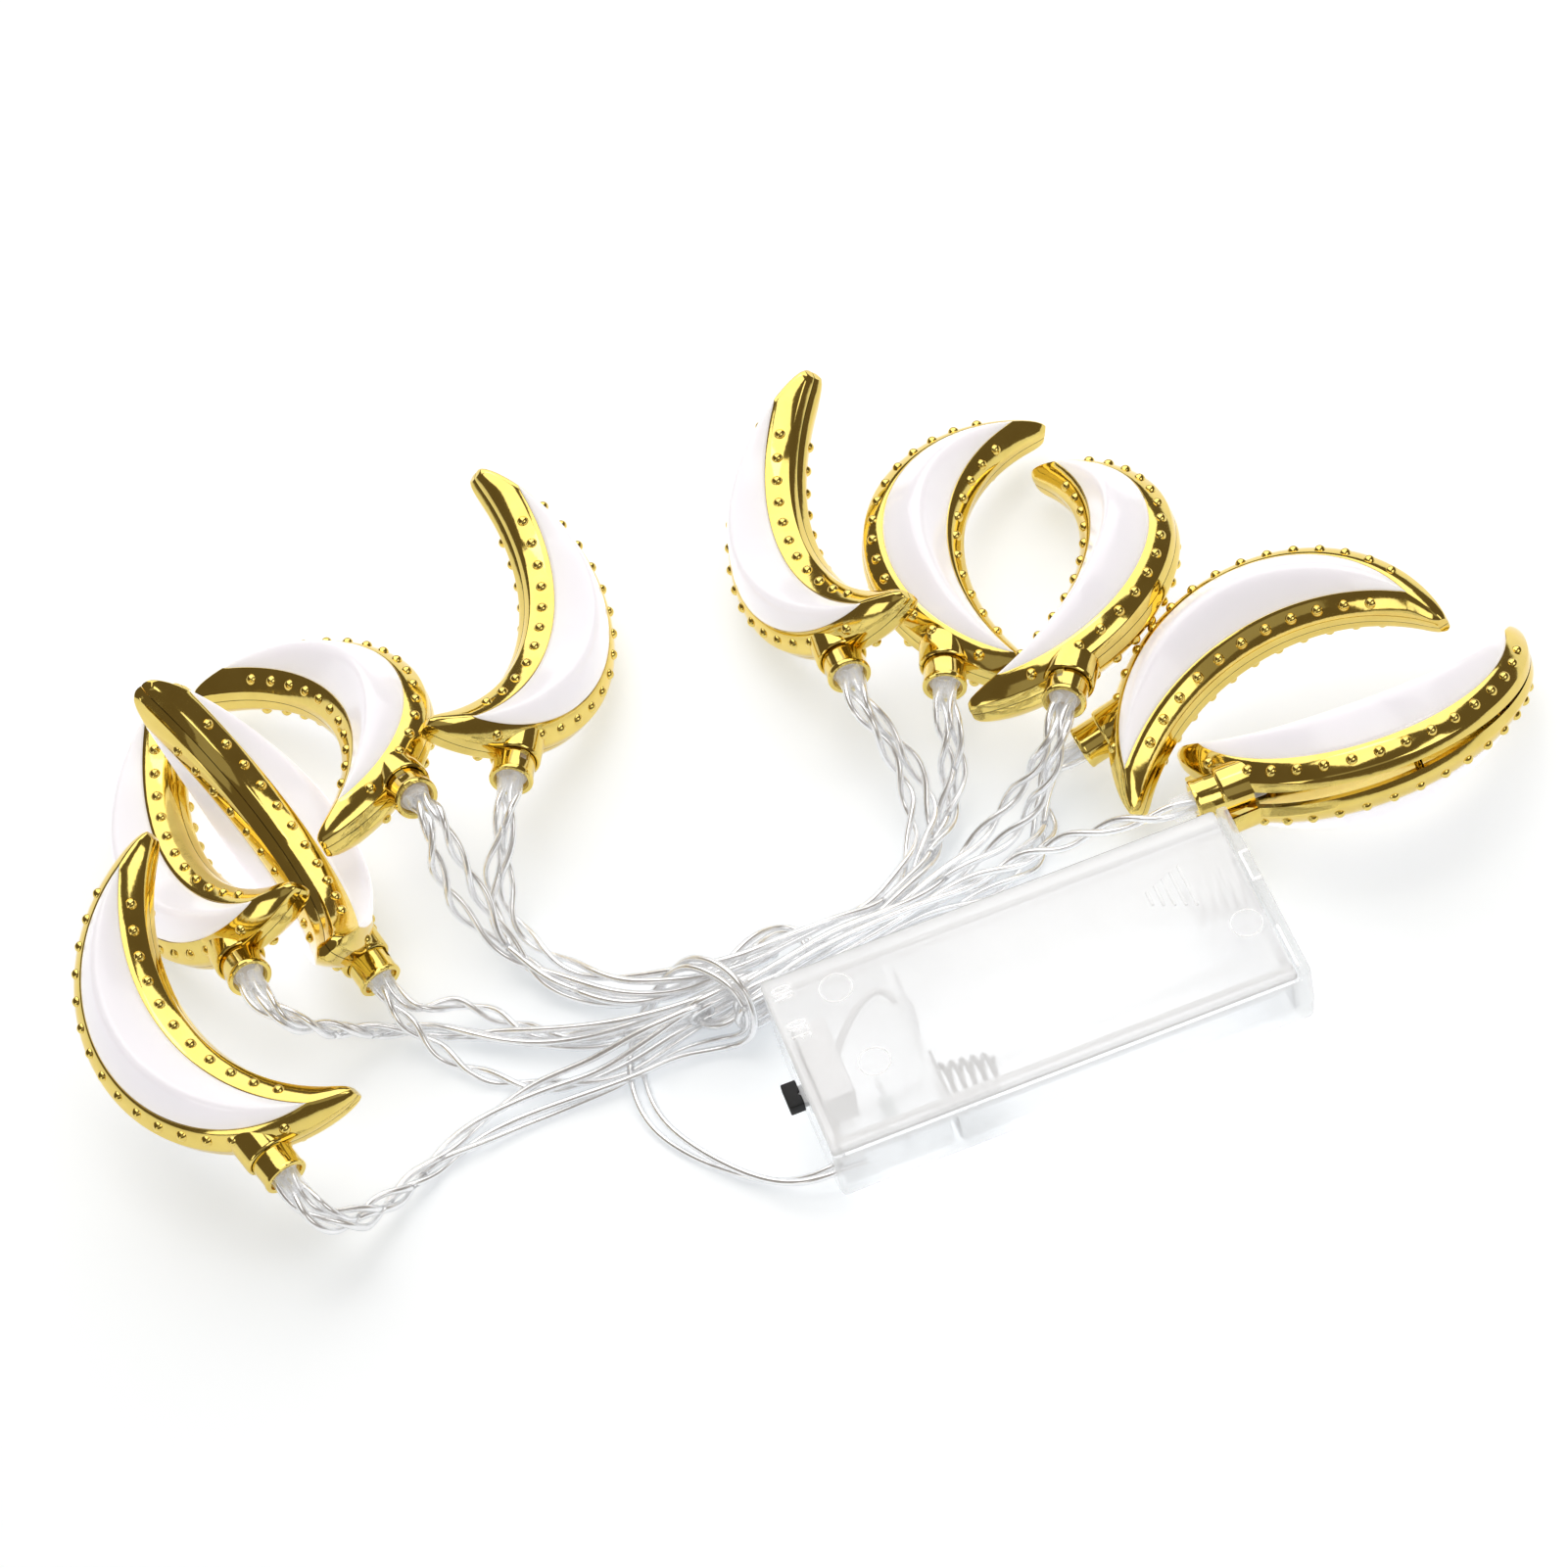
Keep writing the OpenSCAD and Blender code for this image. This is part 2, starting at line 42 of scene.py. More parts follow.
# ------------------------------------------------------------------ places
MOON_POS = [(-86.5, -10, 26), (-79.5, 26.5, 21.85), (-80.5, 16, 28), (-74.5, 34.5, 14.5), (-36.9, 46.5, 22.5),
            (28.5, 39.5, 22.5), (52.5, 25.5, 7.5), (45.5, 19, 9.5), (74, -27, 15), (85.8, -22.2, 6.25)]
MOON_ROT = [(11, -21, 13), (-12, -38, 15), (151, -66, -139), (-162, 2, -167), (-173, -41, 151),
            (-7, -40, 2), (-4, 14, -21), (-170, 19, 153), (16, 2, -87), (178, 29, 87)]
MOON_GAPE = [0, 0, 0, 0, 0, 0, 0, 0, 0, 3]
BOX = Vector((21.25, -56.5, 0))
LETTERS = "abcdefghij"

ROUTES = {
 "lead": [(-11, -67.5, 5), (-16.25, -67.5, 5), (-20, -67, 4), (-25, -63.5, 2), (-30, -58.5, 1.2), (-34.5, -52.5, 1.2),
  (-37.5, -46, 1.2), (-38, -39.5, 1.2), (-36.5, -33, 1.2), (-33.5, -27.5, 1.5), (-29, -24.5, 4.5), (-25, -25.5, 9),
  (-21.5, -30, 11.5), (-19, -35, 11.5), (-18.5, -38.5, 7.5), (-20, -38.5, 3), (-24, -36.5, 1.2), (-31, -35.5, 1.2),
  (-39, -37, 1.5), (-48, -37, 1.2), (-57, -37, 1.2), (-66, -38, 1.2), (-74, -41, 2), (-81, -46, 5), (-86.5, -49.5, 10),
  (-90.8, -48, 14), (-92, -44, 14.8)],
 "ab": [(-90, -43.5, 15), (-88.8, -47, 14), (-85, -47.5, 9.5), (-78, -43, 4), (-70, -38, 2), (-61, -34, 1.5),
  (-52, -33, 2.5), (-43, -34, 4), (-35, -34, 6.5), (-29.5, -33.8, 7.8), (-25.4, -33.6, 8.3), (-23.6, -32.2, 4.8),
  (-25.4, -30.8, 1.4), (-29.5, -30.4, 1.5), (-35, -30, 2), (-43, -28, 1.5), (-52, -23, 1.5), (-62, -17, 2), (-71, -14, 4),
  (-78, -14, 9), (-84, -14.5, 15), (-87, -12, 18), (-88, -8, 17.5)],
 "bc": [(-86, -8, 17.5), (-85, -12, 18), (-82, -15, 14.5), (-76, -14.5, 8), (-68, -14.5, 3.5), (-59, -19, 2.5),
  (-49, -25, 3.5), (-39, -29, 5), (-29, -31, 6.5), (-21, -31.6, 7.8), (-16.9, -31.5, 8.2), (-14.9, -30.5, 5),
  (-16.9, -29.5, 1.8), (-21, -29.4, 1.9), (-28, -29.5, 3), (-38, -28.5, 3), (-47, -25, 2), (-54, -18, 2.5),
  (-59, -13.5, 4), (-62.5, -14.6, 5.8), (-65.8, -14.4, 7.4), (-67.2, -10.8, 8)],
 "cd": [(-69, -11, 8), (-68, -14.5, 7), (-66, -17.5, 4.5), (-62.5, -23, 2), (-57, -28.5, 1.2), (-51, -32.5, 1.2),
  (-45, -34.5, 1.2), (-38, -35, 1.5), (-30, -33.5, 2.5), (-21, -31.5, 2), (-13.5, -29.2, 1.8), (-9, -29.9, 1.8),
  (-5.2, -26, 2.4), (-8.4, -22, 3), (-12, -24, 6), (-16, -26.8, 8), (-20.5, -28.8, 7.6), (-27, -28, 5.5),
  (-35, -24, 4), (-42, -18, 4), (-48, -11, 5), (-52, -6, 9), (-54.5, -2, 15), (-54.5, 1, 22), (-53.5, 4.5, 26),
  (-54, 8, 25)],
 "de": [(-52.2, 8, 25), (-51.5, 4.5, 26), (-51, 0.5, 21), (-50, -3, 13.5), (-48.5, -8, 7), (-46, -14, 3.5),
  (-41, -20.5, 3), (-34, -25.5, 3.5), (-26, -27, 5), (-18, -27, 6), (-15.6, -27, 6.4), (-12.2, -27.4, 7),
  (-10.4, -26, 3.9), (-12.2, -24.6, 1.2), (-15.6, -25, 1.2), (-18, -25.5, 1.5), (-26, -25.5, 1.5), (-34, -23, 1.5),
  (-41, -18, 1.5), (-46.5, -11, 2), (-49, -4, 3.5), (-48, 2, 7.5), (-45, 5.5, 12), (-42.5, 8.5, 15.5), (-41.4, 12, 15.5)],
 "ef": [(-39.4, 11.5, 15.5), (-41, 8, 16), (-43, 5.5, 12.5), (-45, 3, 8), (-46.5, -1, 4.5), (-45, -7, 3), (-41, -14, 3),
  (-35, -21, 5), (-27, -26, 7.5), (-18, -29, 9), (-9, -28.5, 9), (-1, -27, 7.5), (6, -25, 5), (12, -20, 3.5),
  (16, -13.5, 3), (17.5, -7, 5), (17, -2, 10), (15.5, 1, 14.5), (14.5, 4, 16), (14.5, 7, 15.8)],
 "fg": [(16.7, 7, 15.8), (16.5, 3, 16), (18, 0, 12.5), (20, -4.5, 8), (20.5, -10, 4.5), (17, -17.5, 3.5), (10, -24, 4),
  (2, -28, 5), (-6, -30.5, 6.5), (-15, -32, 8), (-21.5, -33.2, 8.4), (-25.7, -33.7, 8.6), (-27.8, -32.7, 5.4),
  (-25.7, -31.7, 2.2), (-21.5, -31.4, 2), (-15, -30.5, 2.5), (-6, -29, 2.5), (3, -26.5, 2), (10, -23, 2), (16, -19, 2),
  (20, -14.5, 2.5), (23, -10, 4.5), (25, -6.5, 8), (26, -3.5, 12), (27, 0.7, 13.3)],
 "gh": [(29, 0.3, 13.3), (28, -3.5, 13.3), (27.5, -6, 9.5), (26, -8.5, 5.5), (23.5, -12, 3), (19, -17, 2.5),
  (13.5, -23, 4), (7, -28, 6), (-1, -31, 6.5), (-10, -33, 6), (-14.5, -33.9, 3.4), (-17.7, -34.4, 2.6),
  (-20.4, -34.4, 6.2), (-17.7, -34.2, 9.7), (-14.4, -33.8, 9.5), (-10, -33, 9.5), (-2, -30.5, 8.5), (7, -28.5, 6.5),
  (15, -25.5, 5), (22, -22, 5), (28, -19.5, 7), (33.5, -18, 11), (36.6, -18.6, 15.8), (38.9, -17.9, 18.9),
  (41.2, -14.4, 19.8)],
 "hi": [(43, -15.4, 19.7), (41, -18.7, 20.2), (38.5, -20.5, 16), (35, -21, 10), (30, -22.5, 6), (23, -24, 4.5),
  (15, -26, 4), (6, -28, 4.5), (-4, -29.5, 5), (-13, -31.5, 5), (-19, -34, 4), (-23.2, -35.3, 3.6), (-25.8, -32, 2.6),
  (-23.6, -28.4, 1.5), (-19.5, -28, 1.2), (-14, -28.6, 1.2), (-6, -28.5, 1.2), (3, -27.5, 1.2), (13, -26.5, 1.5),
  (22, -26, 1.5), (29, -24.5, 1.5), (34, -21, 1.8), (36, -16.5, 2.8), (38.6, -12.9, 5.3), (42.3, -12.3, 6.6)],
 "ij": [(42.3, -14.4, 6.7), (38.5, -14.6, 5.6), (36.5, -17, 3.2), (36, -21, 1.5), (32, -25.5, 1.2), (25, -28, 1.2),
  (16, -29, 2), (6, -30.5, 3), (-4, -32.5, 3.5), (-13, -35, 3.5), (-15.4, -36, 2.8), (-18.2, -36.4, 2.2),
  (-20.8, -36.6, 5.7), (-18.2, -36.4, 9.1), (-14.6, -35.9, 9.2), (-10.4, -34.8, 9.4), (-5, -33.5, 9), (5, -31.5, 8),
  (15, -29.5, 7), (24, -28.5, 6.5), (32, -28.8, 7.5), (38.5, -30.2, 9.5), (44.5, -32.2, 11.5), (48.8, -34, 12.4),
  (52.8, -34.2, 12.5)],
}


def moon_matrix(i, gape=0.0):
    r = [math.radians(a) for a in MOON_ROT[i]]
    m = (Matrix.Translation(Vector(MOON_POS[i]) * MM) @ Matrix.Rotation(r[2], 4, "Z") @ Matrix.Rotation(r[1], 4, "Y")
         @ Matrix.Rotation(r[0], 4, "X"))
    if gape:
        tip = Vector((0, 28.3, 0)) * MM
        m = m @ Matrix.Translation(tip) @ Matrix.Rotation(math.radians(-gape), 4, "X") @ Matrix.Translation(-tip)
    return m


# ------------------------------------------------------------------ camera
cam_data = bpy.data.cameras.new("camera")
cam_data.sensor_width = 36.0
cam_data.lens = 36.0 * 4981.61 / 1601.0
cam_data.clip_start = 0.01
cam_data.clip_end = 50.0
cam = bpy.data.objects.new("camera", cam_data)
sc.collection.objects.link(cam)
sc.camera = cam
_t = math.radians(14.965)
_right0 = Vector((0.99203, -0.12597, 0.0))
_up0 = Vector((0.09966, 0.78480, 0.61170))
_back0 = Vector((-0.07706, -0.60683, 0.79110)).normalized()
_right = (math.cos(_t) * _right0 - math.sin(_t) * _up0).normalized()
_up = _back0.cross(_right).normalized()
_right = _up.cross(_back0).normalized()
cam.matrix_world = Matrix((
    (_right.x, _up.x, _back0.x, -0.0582),
    (_right.y, _up.y, _back0.y, -0.4598),
    (_right.z, _up.z, _back0.z, 0.60785),
    (0, 0, 0, 1)))


# ------------------------------------------------------------------ materials
def new_mat(name):
    m = bpy.data.materials.new(name)
    m.use_nodes = True
    nt = m.node_tree
    nt.nodes.clear()
    out = nt.nodes.new("ShaderNodeOutputMaterial")
    return m, nt, out


def noise(nt, scale, detail=3.0, rough=0.5):
    tc = nt.nodes.new("ShaderNodeTexCoord")
    n = nt.nodes.new("ShaderNodeTexNoise")
    n.inputs["Scale"].default_value = scale
    n.inputs["Detail"].default_value = detail
    n.inputs["Roughness"].default_value = rough
    nt.links.new(tc.outputs["Object"], n.inputs["Vector"])
    return n


def ramp(nt, src, a, b, p0=0.3, p1=0.7):
    r = nt.nodes.new("ShaderNodeValToRGB")
    r.color_ramp.elements[0].position = p0
    r.color_ramp.elements[1].position = p1
    r.color_ramp.elements[0].color = tuple(a) + (1,) if len(a) == 3 else a
    r.color_ramp.elements[1].color = tuple(b) + (1,) if len(b) == 3 else b
    nt.links.new(src, r.inputs["Fac"])
    return r


def span(nt, src, lo, hi):
    m = nt.nodes.new("ShaderNodeMapRange")
    m.inputs["To Min"].default_value = lo
    m.inputs["To Max"].default_value = hi
    nt.links.new(src, m.inputs["Value"])
    return m


def bump(nt, src, strength, dist):
    b = nt.nodes.new("ShaderNodeBump")
    b.inputs["Strength"].default_value = strength
    b.inputs["Distance"].default_value = dist
    nt.links.new(src, b.inputs["Height"])
    return b


def principled(nt, out, **kw):
    p = nt.nodes.new("ShaderNodeBsdfPrincipled")
    for k, v in kw.items():
        p.inputs[k.replace("_", " ")].default_value = v
    nt.links.new(p.outputs["BSDF"], out.inputs["Surface"])
    return p


def make_gold():
    m, nt, out = new_mat("gold_plating")
    p = principled(nt, out, Metallic=1.0, Coat_Weight=0.8, Coat_Roughness=0.04)
    p.inputs["Specular Tint"].default_value = (1.0, 0.86, 0.48, 1)
    n = noise(nt, 260.0, 3.0)
    c = ramp(nt, n.outputs["Fac"], (0.780, 0.585, 0.125), (0.840, 0.650, 0.160))
    nt.links.new(c.outputs["Color"], p.inputs["Base Color"])
    r = span(nt, n.outputs["Fac"], 0.06, 0.13)
    nt.links.new(r.outputs["Result"], p.inputs["Roughness"])
    n2 = noise(nt, 420.0, 2.0)
    b = bump(nt, n2.outputs["Fac"], 0.06, 0.0004)
    nt.links.new(b.outputs["Normal"], p.inputs["Normal"])
    return m


def make_lens():
    m, nt, out = new_mat("milky_lens")
    # Emission Strength is a painted glow: it brightens the lens and evens out its shading. No lamp lights the lens from
    # inside.
    p = principled(nt, out, Metallic=0.0, IOR=1.49, Subsurface_Weight=1.0, Subsurface_Scale=0.005, Coat_Weight=0.25, Coat_Roughness=0.05,
                   Emission_Strength=0.485)
    p.inputs["Emission Color"].default_value = (0.975, 0.96, 1.0, 1)
    p.inputs["Subsurface Radius"].default_value = (1.0, 0.9, 1.0)
    n = noise(nt, 90.0, 2.0)
    c = ramp(nt, n.outputs["Fac"], (0.575, 0.560, 0.590), (0.605, 0.590, 0.615))
    nt.links.new(c.outputs["Color"], p.inputs["Base Color"])
    r = span(nt, n.outputs["Fac"], 0.14, 0.22)
    nt.links.new(r.outputs["Result"], p.inputs["Roughness"])
    return m


def lit_through(nt, out, shader, shade=0.97):
    """Lets the lamps' light pass straight through a clear piece."""
    lp = nt.nodes.new("ShaderNodeLightPath")
    t = nt.nodes.new("ShaderNodeBsdfTransparent")
    t.inputs["Color"].default_value = (shade, shade, shade, 1)
    mix = nt.nodes.new("ShaderNodeMixShader")
    nt.links.new(lp.outputs["Is Shadow Ray"], mix.inputs["Fac"])
    nt.links.new(shader, mix.inputs[1])
    nt.links.new(t.outputs["BSDF"], mix.inputs[2])
    nt.links.new(mix.outputs["Shader"], out.inputs["Surface"])


def make_clear(name, haze, colour, rough=0.12, edge=0.3, frost=0.0, painted_glow=0.0):
    """Clear moulded plastic: a thin haze that thickens where the surface turns away; frosted plastic also blurs what
    lies behind. Its emission is a painted glow that brightens the plastic.
    """
    m, nt, out = new_mat(name)
    p = nt.nodes.new("ShaderNodeBsdfPrincipled")
    p.inputs["Roughness"].default_value = rough
    p.inputs["IOR"].default_value = 1.5
    # painted glow: emission that makes the clear plastic brighter than the lamps make it
    p.inputs["Emission Color"].default_value = (1, 1, 1, 1)
    p.inputs["Emission Strength"].default_value = painted_glow
    n = noise(nt, 120.0, 3.0)
    c = ramp(nt, n.outputs["Fac"], [x * 0.97 for x in colour], colour)
    nt.links.new(c.outputs["Color"], p.inputs["Base Color"])
    if frost:
        t = nt.nodes.new("ShaderNodeBsdfRefraction")
        t.inputs["Roughness"].default_value = frost
        t.inputs["IOR"].default_value = 1.3
        t.inputs["Color"].default_value = (0.985, 0.985, 0.99, 1)
    else:
        t = nt.nodes.new("ShaderNodeBsdfTransparent")
        t.inputs["Color"].default_value = (0.985, 0.99, 0.995, 1)
    mix = nt.nodes.new("ShaderNodeMixShader")
    lw = nt.nodes.new("ShaderNodeLayerWeight")
    lw.inputs["Blend"].default_value = 0.35
    f = span(nt, lw.outputs["Facing"], haze, haze + edge)
    nt.links.new(f.outputs["Result"], mix.inputs["Fac"])
    nt.links.new(t.outputs["BSDF"], mix.inputs[1])
    nt.links.new(p.outputs["BSDF"], mix.inputs[2])
    lit_through(nt, out, mix.outputs["Shader"])
    return m


def make_glass(name, a, b, rough, ior):
    """Clear soft plastic that bends the light behind it, with a faint painted glow."""
    m, nt, out = new_mat(name)
    p = nt.nodes.new("ShaderNodeBsdfPrincipled")
    p.inputs["Transmission Weight"].default_value = 0.95
    # painted glow: a faint emission that brightens the strands
    p.inputs["Emission Color"].default_value = (1, 1, 1, 1)
    p.inputs["Emission Strength"].default_value = 0.06
    p.inputs["IOR"].default_value = ior
    n = noise(nt, 400.0, 2.0)
    c = ramp(nt, n.outputs["Fac"], a, b)
    nt.links.new(c.outputs["Color"], p.inputs["Base Color"])
    r = span(nt, n.outputs["Fac"], rough * 0.6, rough * 1.4)
    nt.links.new(r.outputs["Result"], p.inputs["Roughness"])
    lit_through(nt, out, p.outputs["BSDF"], 0.76)
    return m


def make_plastic(name, a, b, rough=0.35, scale=300.0, bump_s=0.1, spec=0.5):
    m, nt, out = new_mat(name)
    p = principled(nt, out, Metallic=0.0, Specular_IOR_Level=spec)
    n = noise(nt, scale, 4.0)
    c = ramp(nt, n.outputs["Fac"], a, b)
    nt.links.new(c.outputs["Color"], p.inputs["Base Color"])
    r = span(nt, n.outputs["Fac"], rough - 0.06, rough + 0.06)
    nt.links.new(r.outputs["Result"], p.inputs["Roughness"])
    bb = bump(nt, n.outputs["Fac"], bump_s, 0.0002)
    nt.links.new(bb.outputs["Normal"], p.inputs["Normal"])
    return m


def make_metal(name, a, b, rough=0.25, scale=900.0):
    m, nt, out = new_mat(name)
    p = principled(nt, out, Metallic=1.0)
    n = noise(nt, scale, 3.0)
    c = ramp(nt, n.outputs["Fac"], a, b)
    nt.links.new(c.outputs["Color"], p.inputs["Base Color"])
    r = span(nt, n.outputs["Fac"], rough - 0.08, rough + 0.08)
    nt.links.new(r.outputs["Result"], p.inputs["Roughness"])
    return m


GOLD = make_gold()
LENS = make_lens()
# The last number of each clear plastic is its painted glow: emission brightens the box, the cover and, most of all, the
# holder.
CLEAR_BOX = make_clear("clear_box", 0.20, (0.955, 0.96, 0.965), 0.12, 0.34, 0.0, 0.07)
CLEAR_COVER = make_clear("frosted_cover", 0.40, (0.955, 0.96, 0.965), 0.16, 0.32, 0.21, 0.02)
CLEAR_HOLDER = make_clear("clear_holder", 0.14, (0.90, 0.90, 0.915), 0.06, 0.45, 0.0, 0.22)
CLEAR_WIRE = make_glass("clear_wire", (0.96, 0.965, 0.97), (0.99, 0.99, 0.992), 0.03, 1.38)
# The cover marks carry a painted glow: emission makes the letters, pin rings and end-wall marks bright white.
MARKS = make_clear("cover_marks", 0.90, (0.985, 0.985, 0.99), 0.2, 0.08, 0.0, 0.24)
PALE = make_plastic("switch_pale", (0.52, 0.52, 0.53), (0.60, 0.60, 0.61), 0.4)
BLACK = make_plastic("black_knob", (0.006, 0.006, 0.007), (0.014, 0.014, 0.015), 0.5, spec=0.28)
CAP = make_plastic("switch_cap", (0.64, 0.64, 0.65), (0.71, 0.71, 0.72), 0.4)
SLEEVE = make_plastic("sleeve_grey", (0.56, 0.56, 0.57), (0.64, 0.64, 0.65), 0.35)
GREY = make_plastic("switch_grey", (0.34, 0.34, 0.35), (0.42, 0.42, 0.43), 0.45)
STEEL = make_metal("contact_steel", (0.55, 0.56, 0.58), (0.72, 0.73, 0.75))
SPRING = make_metal("spring_wire", (0.11, 0.11, 0.115), (0.19, 0.19, 0.20), 0.33)
# A darker copy of the contact steel, used on the negative plate only. This is painted shade: it puts a dark stroke
# where the partition shows dark through the clear wall.
PLATE_PAINTED_SHADE = make_metal("plate_steel_painted_dark", (0.20, 0.20, 0.21), (0.32, 0.32, 0.33), 0.3)
TINNED = make_plastic("tinned_wire", (0.80, 0.80, 0.81), (0.88, 0.88, 0.89), 0.3)
CORE = make_metal("wire_core", (0.84, 0.84, 0.85), (0.93, 0.93, 0.94), 0.20, 300.0)
RESIST = make_plastic("resistor_lacquer", (0.44, 0.50, 0.52), (0.54, 0.60, 0.62), 0.3)
LED_BODY = make_clear("led_body", 0.55, (0.95, 0.93, 0.86), 0.08)


# ------------------------------------------------------------------ mesh helpers
def mesh_from(name, verts, faces, mats, smooth=35.0, scale=MM):
    me = bpy.data.meshes.new(name)
    me.from_pydata([tuple(c * scale for c in v) for v in verts], [], faces)
    me.validate()
    return finish_mesh(me, mats, smooth)


def finish_mesh(me, mats, smooth=35.0):
    for mt in mats:
        me.materials.append(mt)
    for p in me.polygons:
        p.use_smooth = True
    me.set_sharp_from_angle(angle=math.radians(smooth))
    me.update()
    return me


def put(name, me, body, nodes=(), matrix=None):
    o = bpy.data.objects.new(name, me)
    sc.collection.objects.link(o)
    if matrix is not None:
        o.matrix_world = matrix
    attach(o, body)
    if nodes:
        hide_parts(*nodes)
    return o


class Builder:
    """Collects closed pieces in millimetres and joins them into one mesh."""

    def __init__(self):
        self.v, self.f, self.m = [], [], []

    def add(self, verts, faces, mat=0):
        n = len(self.v)
        self.v += [tuple(v) for v in verts]
        self.f += [tuple(i + n for i in f) for f in faces]
        self.m += [mat] * len(faces)

    def add_bm(self, bm, mat=0):
        bm.verts.index_update()
        self.add([v.co[:] for v in bm.verts], [[v.index for v in f.verts] for f in bm.faces], mat)
        bm.free()

    def mesh(self, name, mats, smooth=35.0, flip_z=False):
        v = [(x, y, -z) for x, y, z in self.v] if flip_z else self.v
        f = [tuple(reversed(x)) for x in self.f] if flip_z else self.f
        me = bpy.data.meshes.new(name)
        me.from_pydata([tuple(c * MM for c in p) for p in v], [], f)
        for p, k in zip(me.polygons, self.m):
            p.material_index = k
        return finish_mesh(me, mats, smooth)


def lathe(profile, seg=40, a0=0.0, a1=2 * math.pi, centre=(0, 0)):
    """Turns a closed profile of (radius, y) about an axis along Y through centre (x, z)."""
    full = abs(a1 - a0 - 2 * math.pi) < 1e-6
    n = seg if full else seg + 1
    m = len(profile)
    v = []
    for i in range(n):
        a = a0 + (a1 - a0) * i / seg
        for r, y in profile:
            v.append((centre[0] + r * math.cos(a), y, centre[1] + r * math.sin(a)))
    f = []
    for i in range(seg):
        j = (i + 1) % n
        for k in range(m):
            l = (k + 1) % m
            f.append((i * m + k, i * m + l, j * m + l, j * m + k))
    if not full:
        f.append(tuple(range(m - 1, -1, -1)))
        f.append(tuple((n - 1) * m + k for k in range(m)))
    return v, f


def closed(verts, faces, bevel=0.0, seg=2, angle=25.0, keep=None, merge=1e-4):
    """A bmesh of one closed piece, with its hard edges rounded."""
    bm = bmesh.new()
    vs = [bm.verts.new(v) for v in verts]
    for f in faces:
        try:
            bm.faces.new([vs[i] for i in f])
        except ValueError:
            pass
    bmesh.ops.remove_doubles(bm, verts=bm.verts, dist=merge)
    bmesh.ops.dissolve_degenerate(bm, dist=merge, edges=bm.edges)
    bmesh.ops.recalc_face_normals(bm, faces=bm.faces)
    if bevel:
        es = [e for e in bm.edges if len(e.link_faces) == 2 and e.calc_face_angle(0) > math.radians(angle) and (keep is None or keep(e))]
        bmesh.ops.bevel(bm, geom=es, offset=bevel, segments=seg, profile=0.5, affect="EDGES", clamp_overlap=True)
        bmesh.ops.recalc_face_normals(bm, faces=bm.faces)
    return bm


def block(x0, x1, y0, y1, z0, z1, bevel=0.3, seg=2):
    v = [(x, y, z) for x in (x0, x1) for y in (y0, y1) for z in (z0, z1)]
    f = [(0, 1, 3, 2), (4, 6, 7, 5), (0, 4, 5, 1), (2, 3, 7, 6), (0, 2, 6, 4), (1, 5, 7, 3)]
    return closed(v, f, bevel, seg)


def bm_object(bm, name="tmp"):
    me = bpy.data.meshes.new(name)
    bm.to_mesh(me)
    bm.free()
    o = bpy.data.objects.new(name, me)
    sc.collection.objects.link(o)
    return o


def boolean(base, cutters, op="DIFFERENCE"):
    """Cuts or joins temporary objects and gives back a bmesh."""
    for c in cutters:
        md = base.modifiers.new("b", "BOOLEAN")
        md.operation = op
        md.solver = "EXACT"
        md.object = c
    dg = bpy.context.evaluated_depsgraph_get()
    me = bpy.data.meshes.new_from_object(base.evaluated_get(dg))
    bm = bmesh.new()
    bm.from_mesh(me)
    bpy.data.meshes.remove(me)
    for o in [base] + list(cutters):
        d = o.data
        bpy.data.objects.remove(o)
        bpy.data.meshes.remove(d)
    return bm


# ------------------------------------------------------------------ cords: two strands for every link
STRAND_D = 1.2


def spline(points, step=0.8):
    p = [Vector(q) for q in points]
    p = [p[0] * 2 - p[1]] + p + [p[-1] * 2 - p[-2]]
    dense = []
    for i in range(1, len(p) - 2):
        a, b, c, d = p[i - 1], p[i], p[i + 1], p[i + 2]
        for k in range(12):
            t = k / 12
            dense.append(0.5 * ((2 * b) + (c - a) * t + (2 * a - 5 * b + 4 * c - d) * t * t + (3 * b - a - 3 * c + d) * t ** 3))
    dense.append(p[-2])
    out, left = [dense[0]], step
    for a, b in zip(dense, dense[1:]):
        d = (b - a).length
        while d >= left and d > 0:
            a = a + (b - a) * (left / d)
            out.append(a)
            d = (b - a).length
            left = step
        left -= d
    if (out[-1] - dense[-1]).length > step * 0.3:
        out.append(dense[-1])
    return out


def frames(p):
    out = []
    s = None
    for i in range(len(p)):
        t = (p[min(i + 1, len(p) - 1)] - p[max(i - 1, 0)]).normalized()
        if s is None:
            s = t.cross(Vector((0, 0, 1))).normalized()
        s = (s - t * s.dot(t)).normalized()
        out.append((t, s, t.cross(s)))
    return out


def smooth_line(p, rounds, keep_ends=2):
    for _ in range(rounds):
        q = [v.copy() for v in p]
        for i in range(keep_ends, len(p) - keep_ends):
            q[i] = p[i] * 0.5 + (p[i - 1] + p[i + 1]) * 0.25
        p = q
    return p


def curve_object(name, pts, radius, mat, res=3):
    cu = bpy.data.curves.new(name, "CURVE")
    cu.dimensions = "3D"
    sp = cu.splines.new("POLY")
    sp.points.add(len(pts) - 1)
    for q, v in zip(sp.points, pts):
        q.co = (v.x * MM, v.y * MM, v.z * MM, 1.0)
    sp.use_smooth = True
    cu.bevel_depth = radius * MM
    cu.bevel_resolution = res
    cu.use_fill_caps = True
    cu.materials.append(mat)
    o = bpy.data.objects.new(name, cu)
    sc.collection.objects.link(o)
    return o


def holder_inward(i):
    m = moon_matrix(i)
    return (m.to_3x3() @ Vector((0, 1, 0))).normalized()


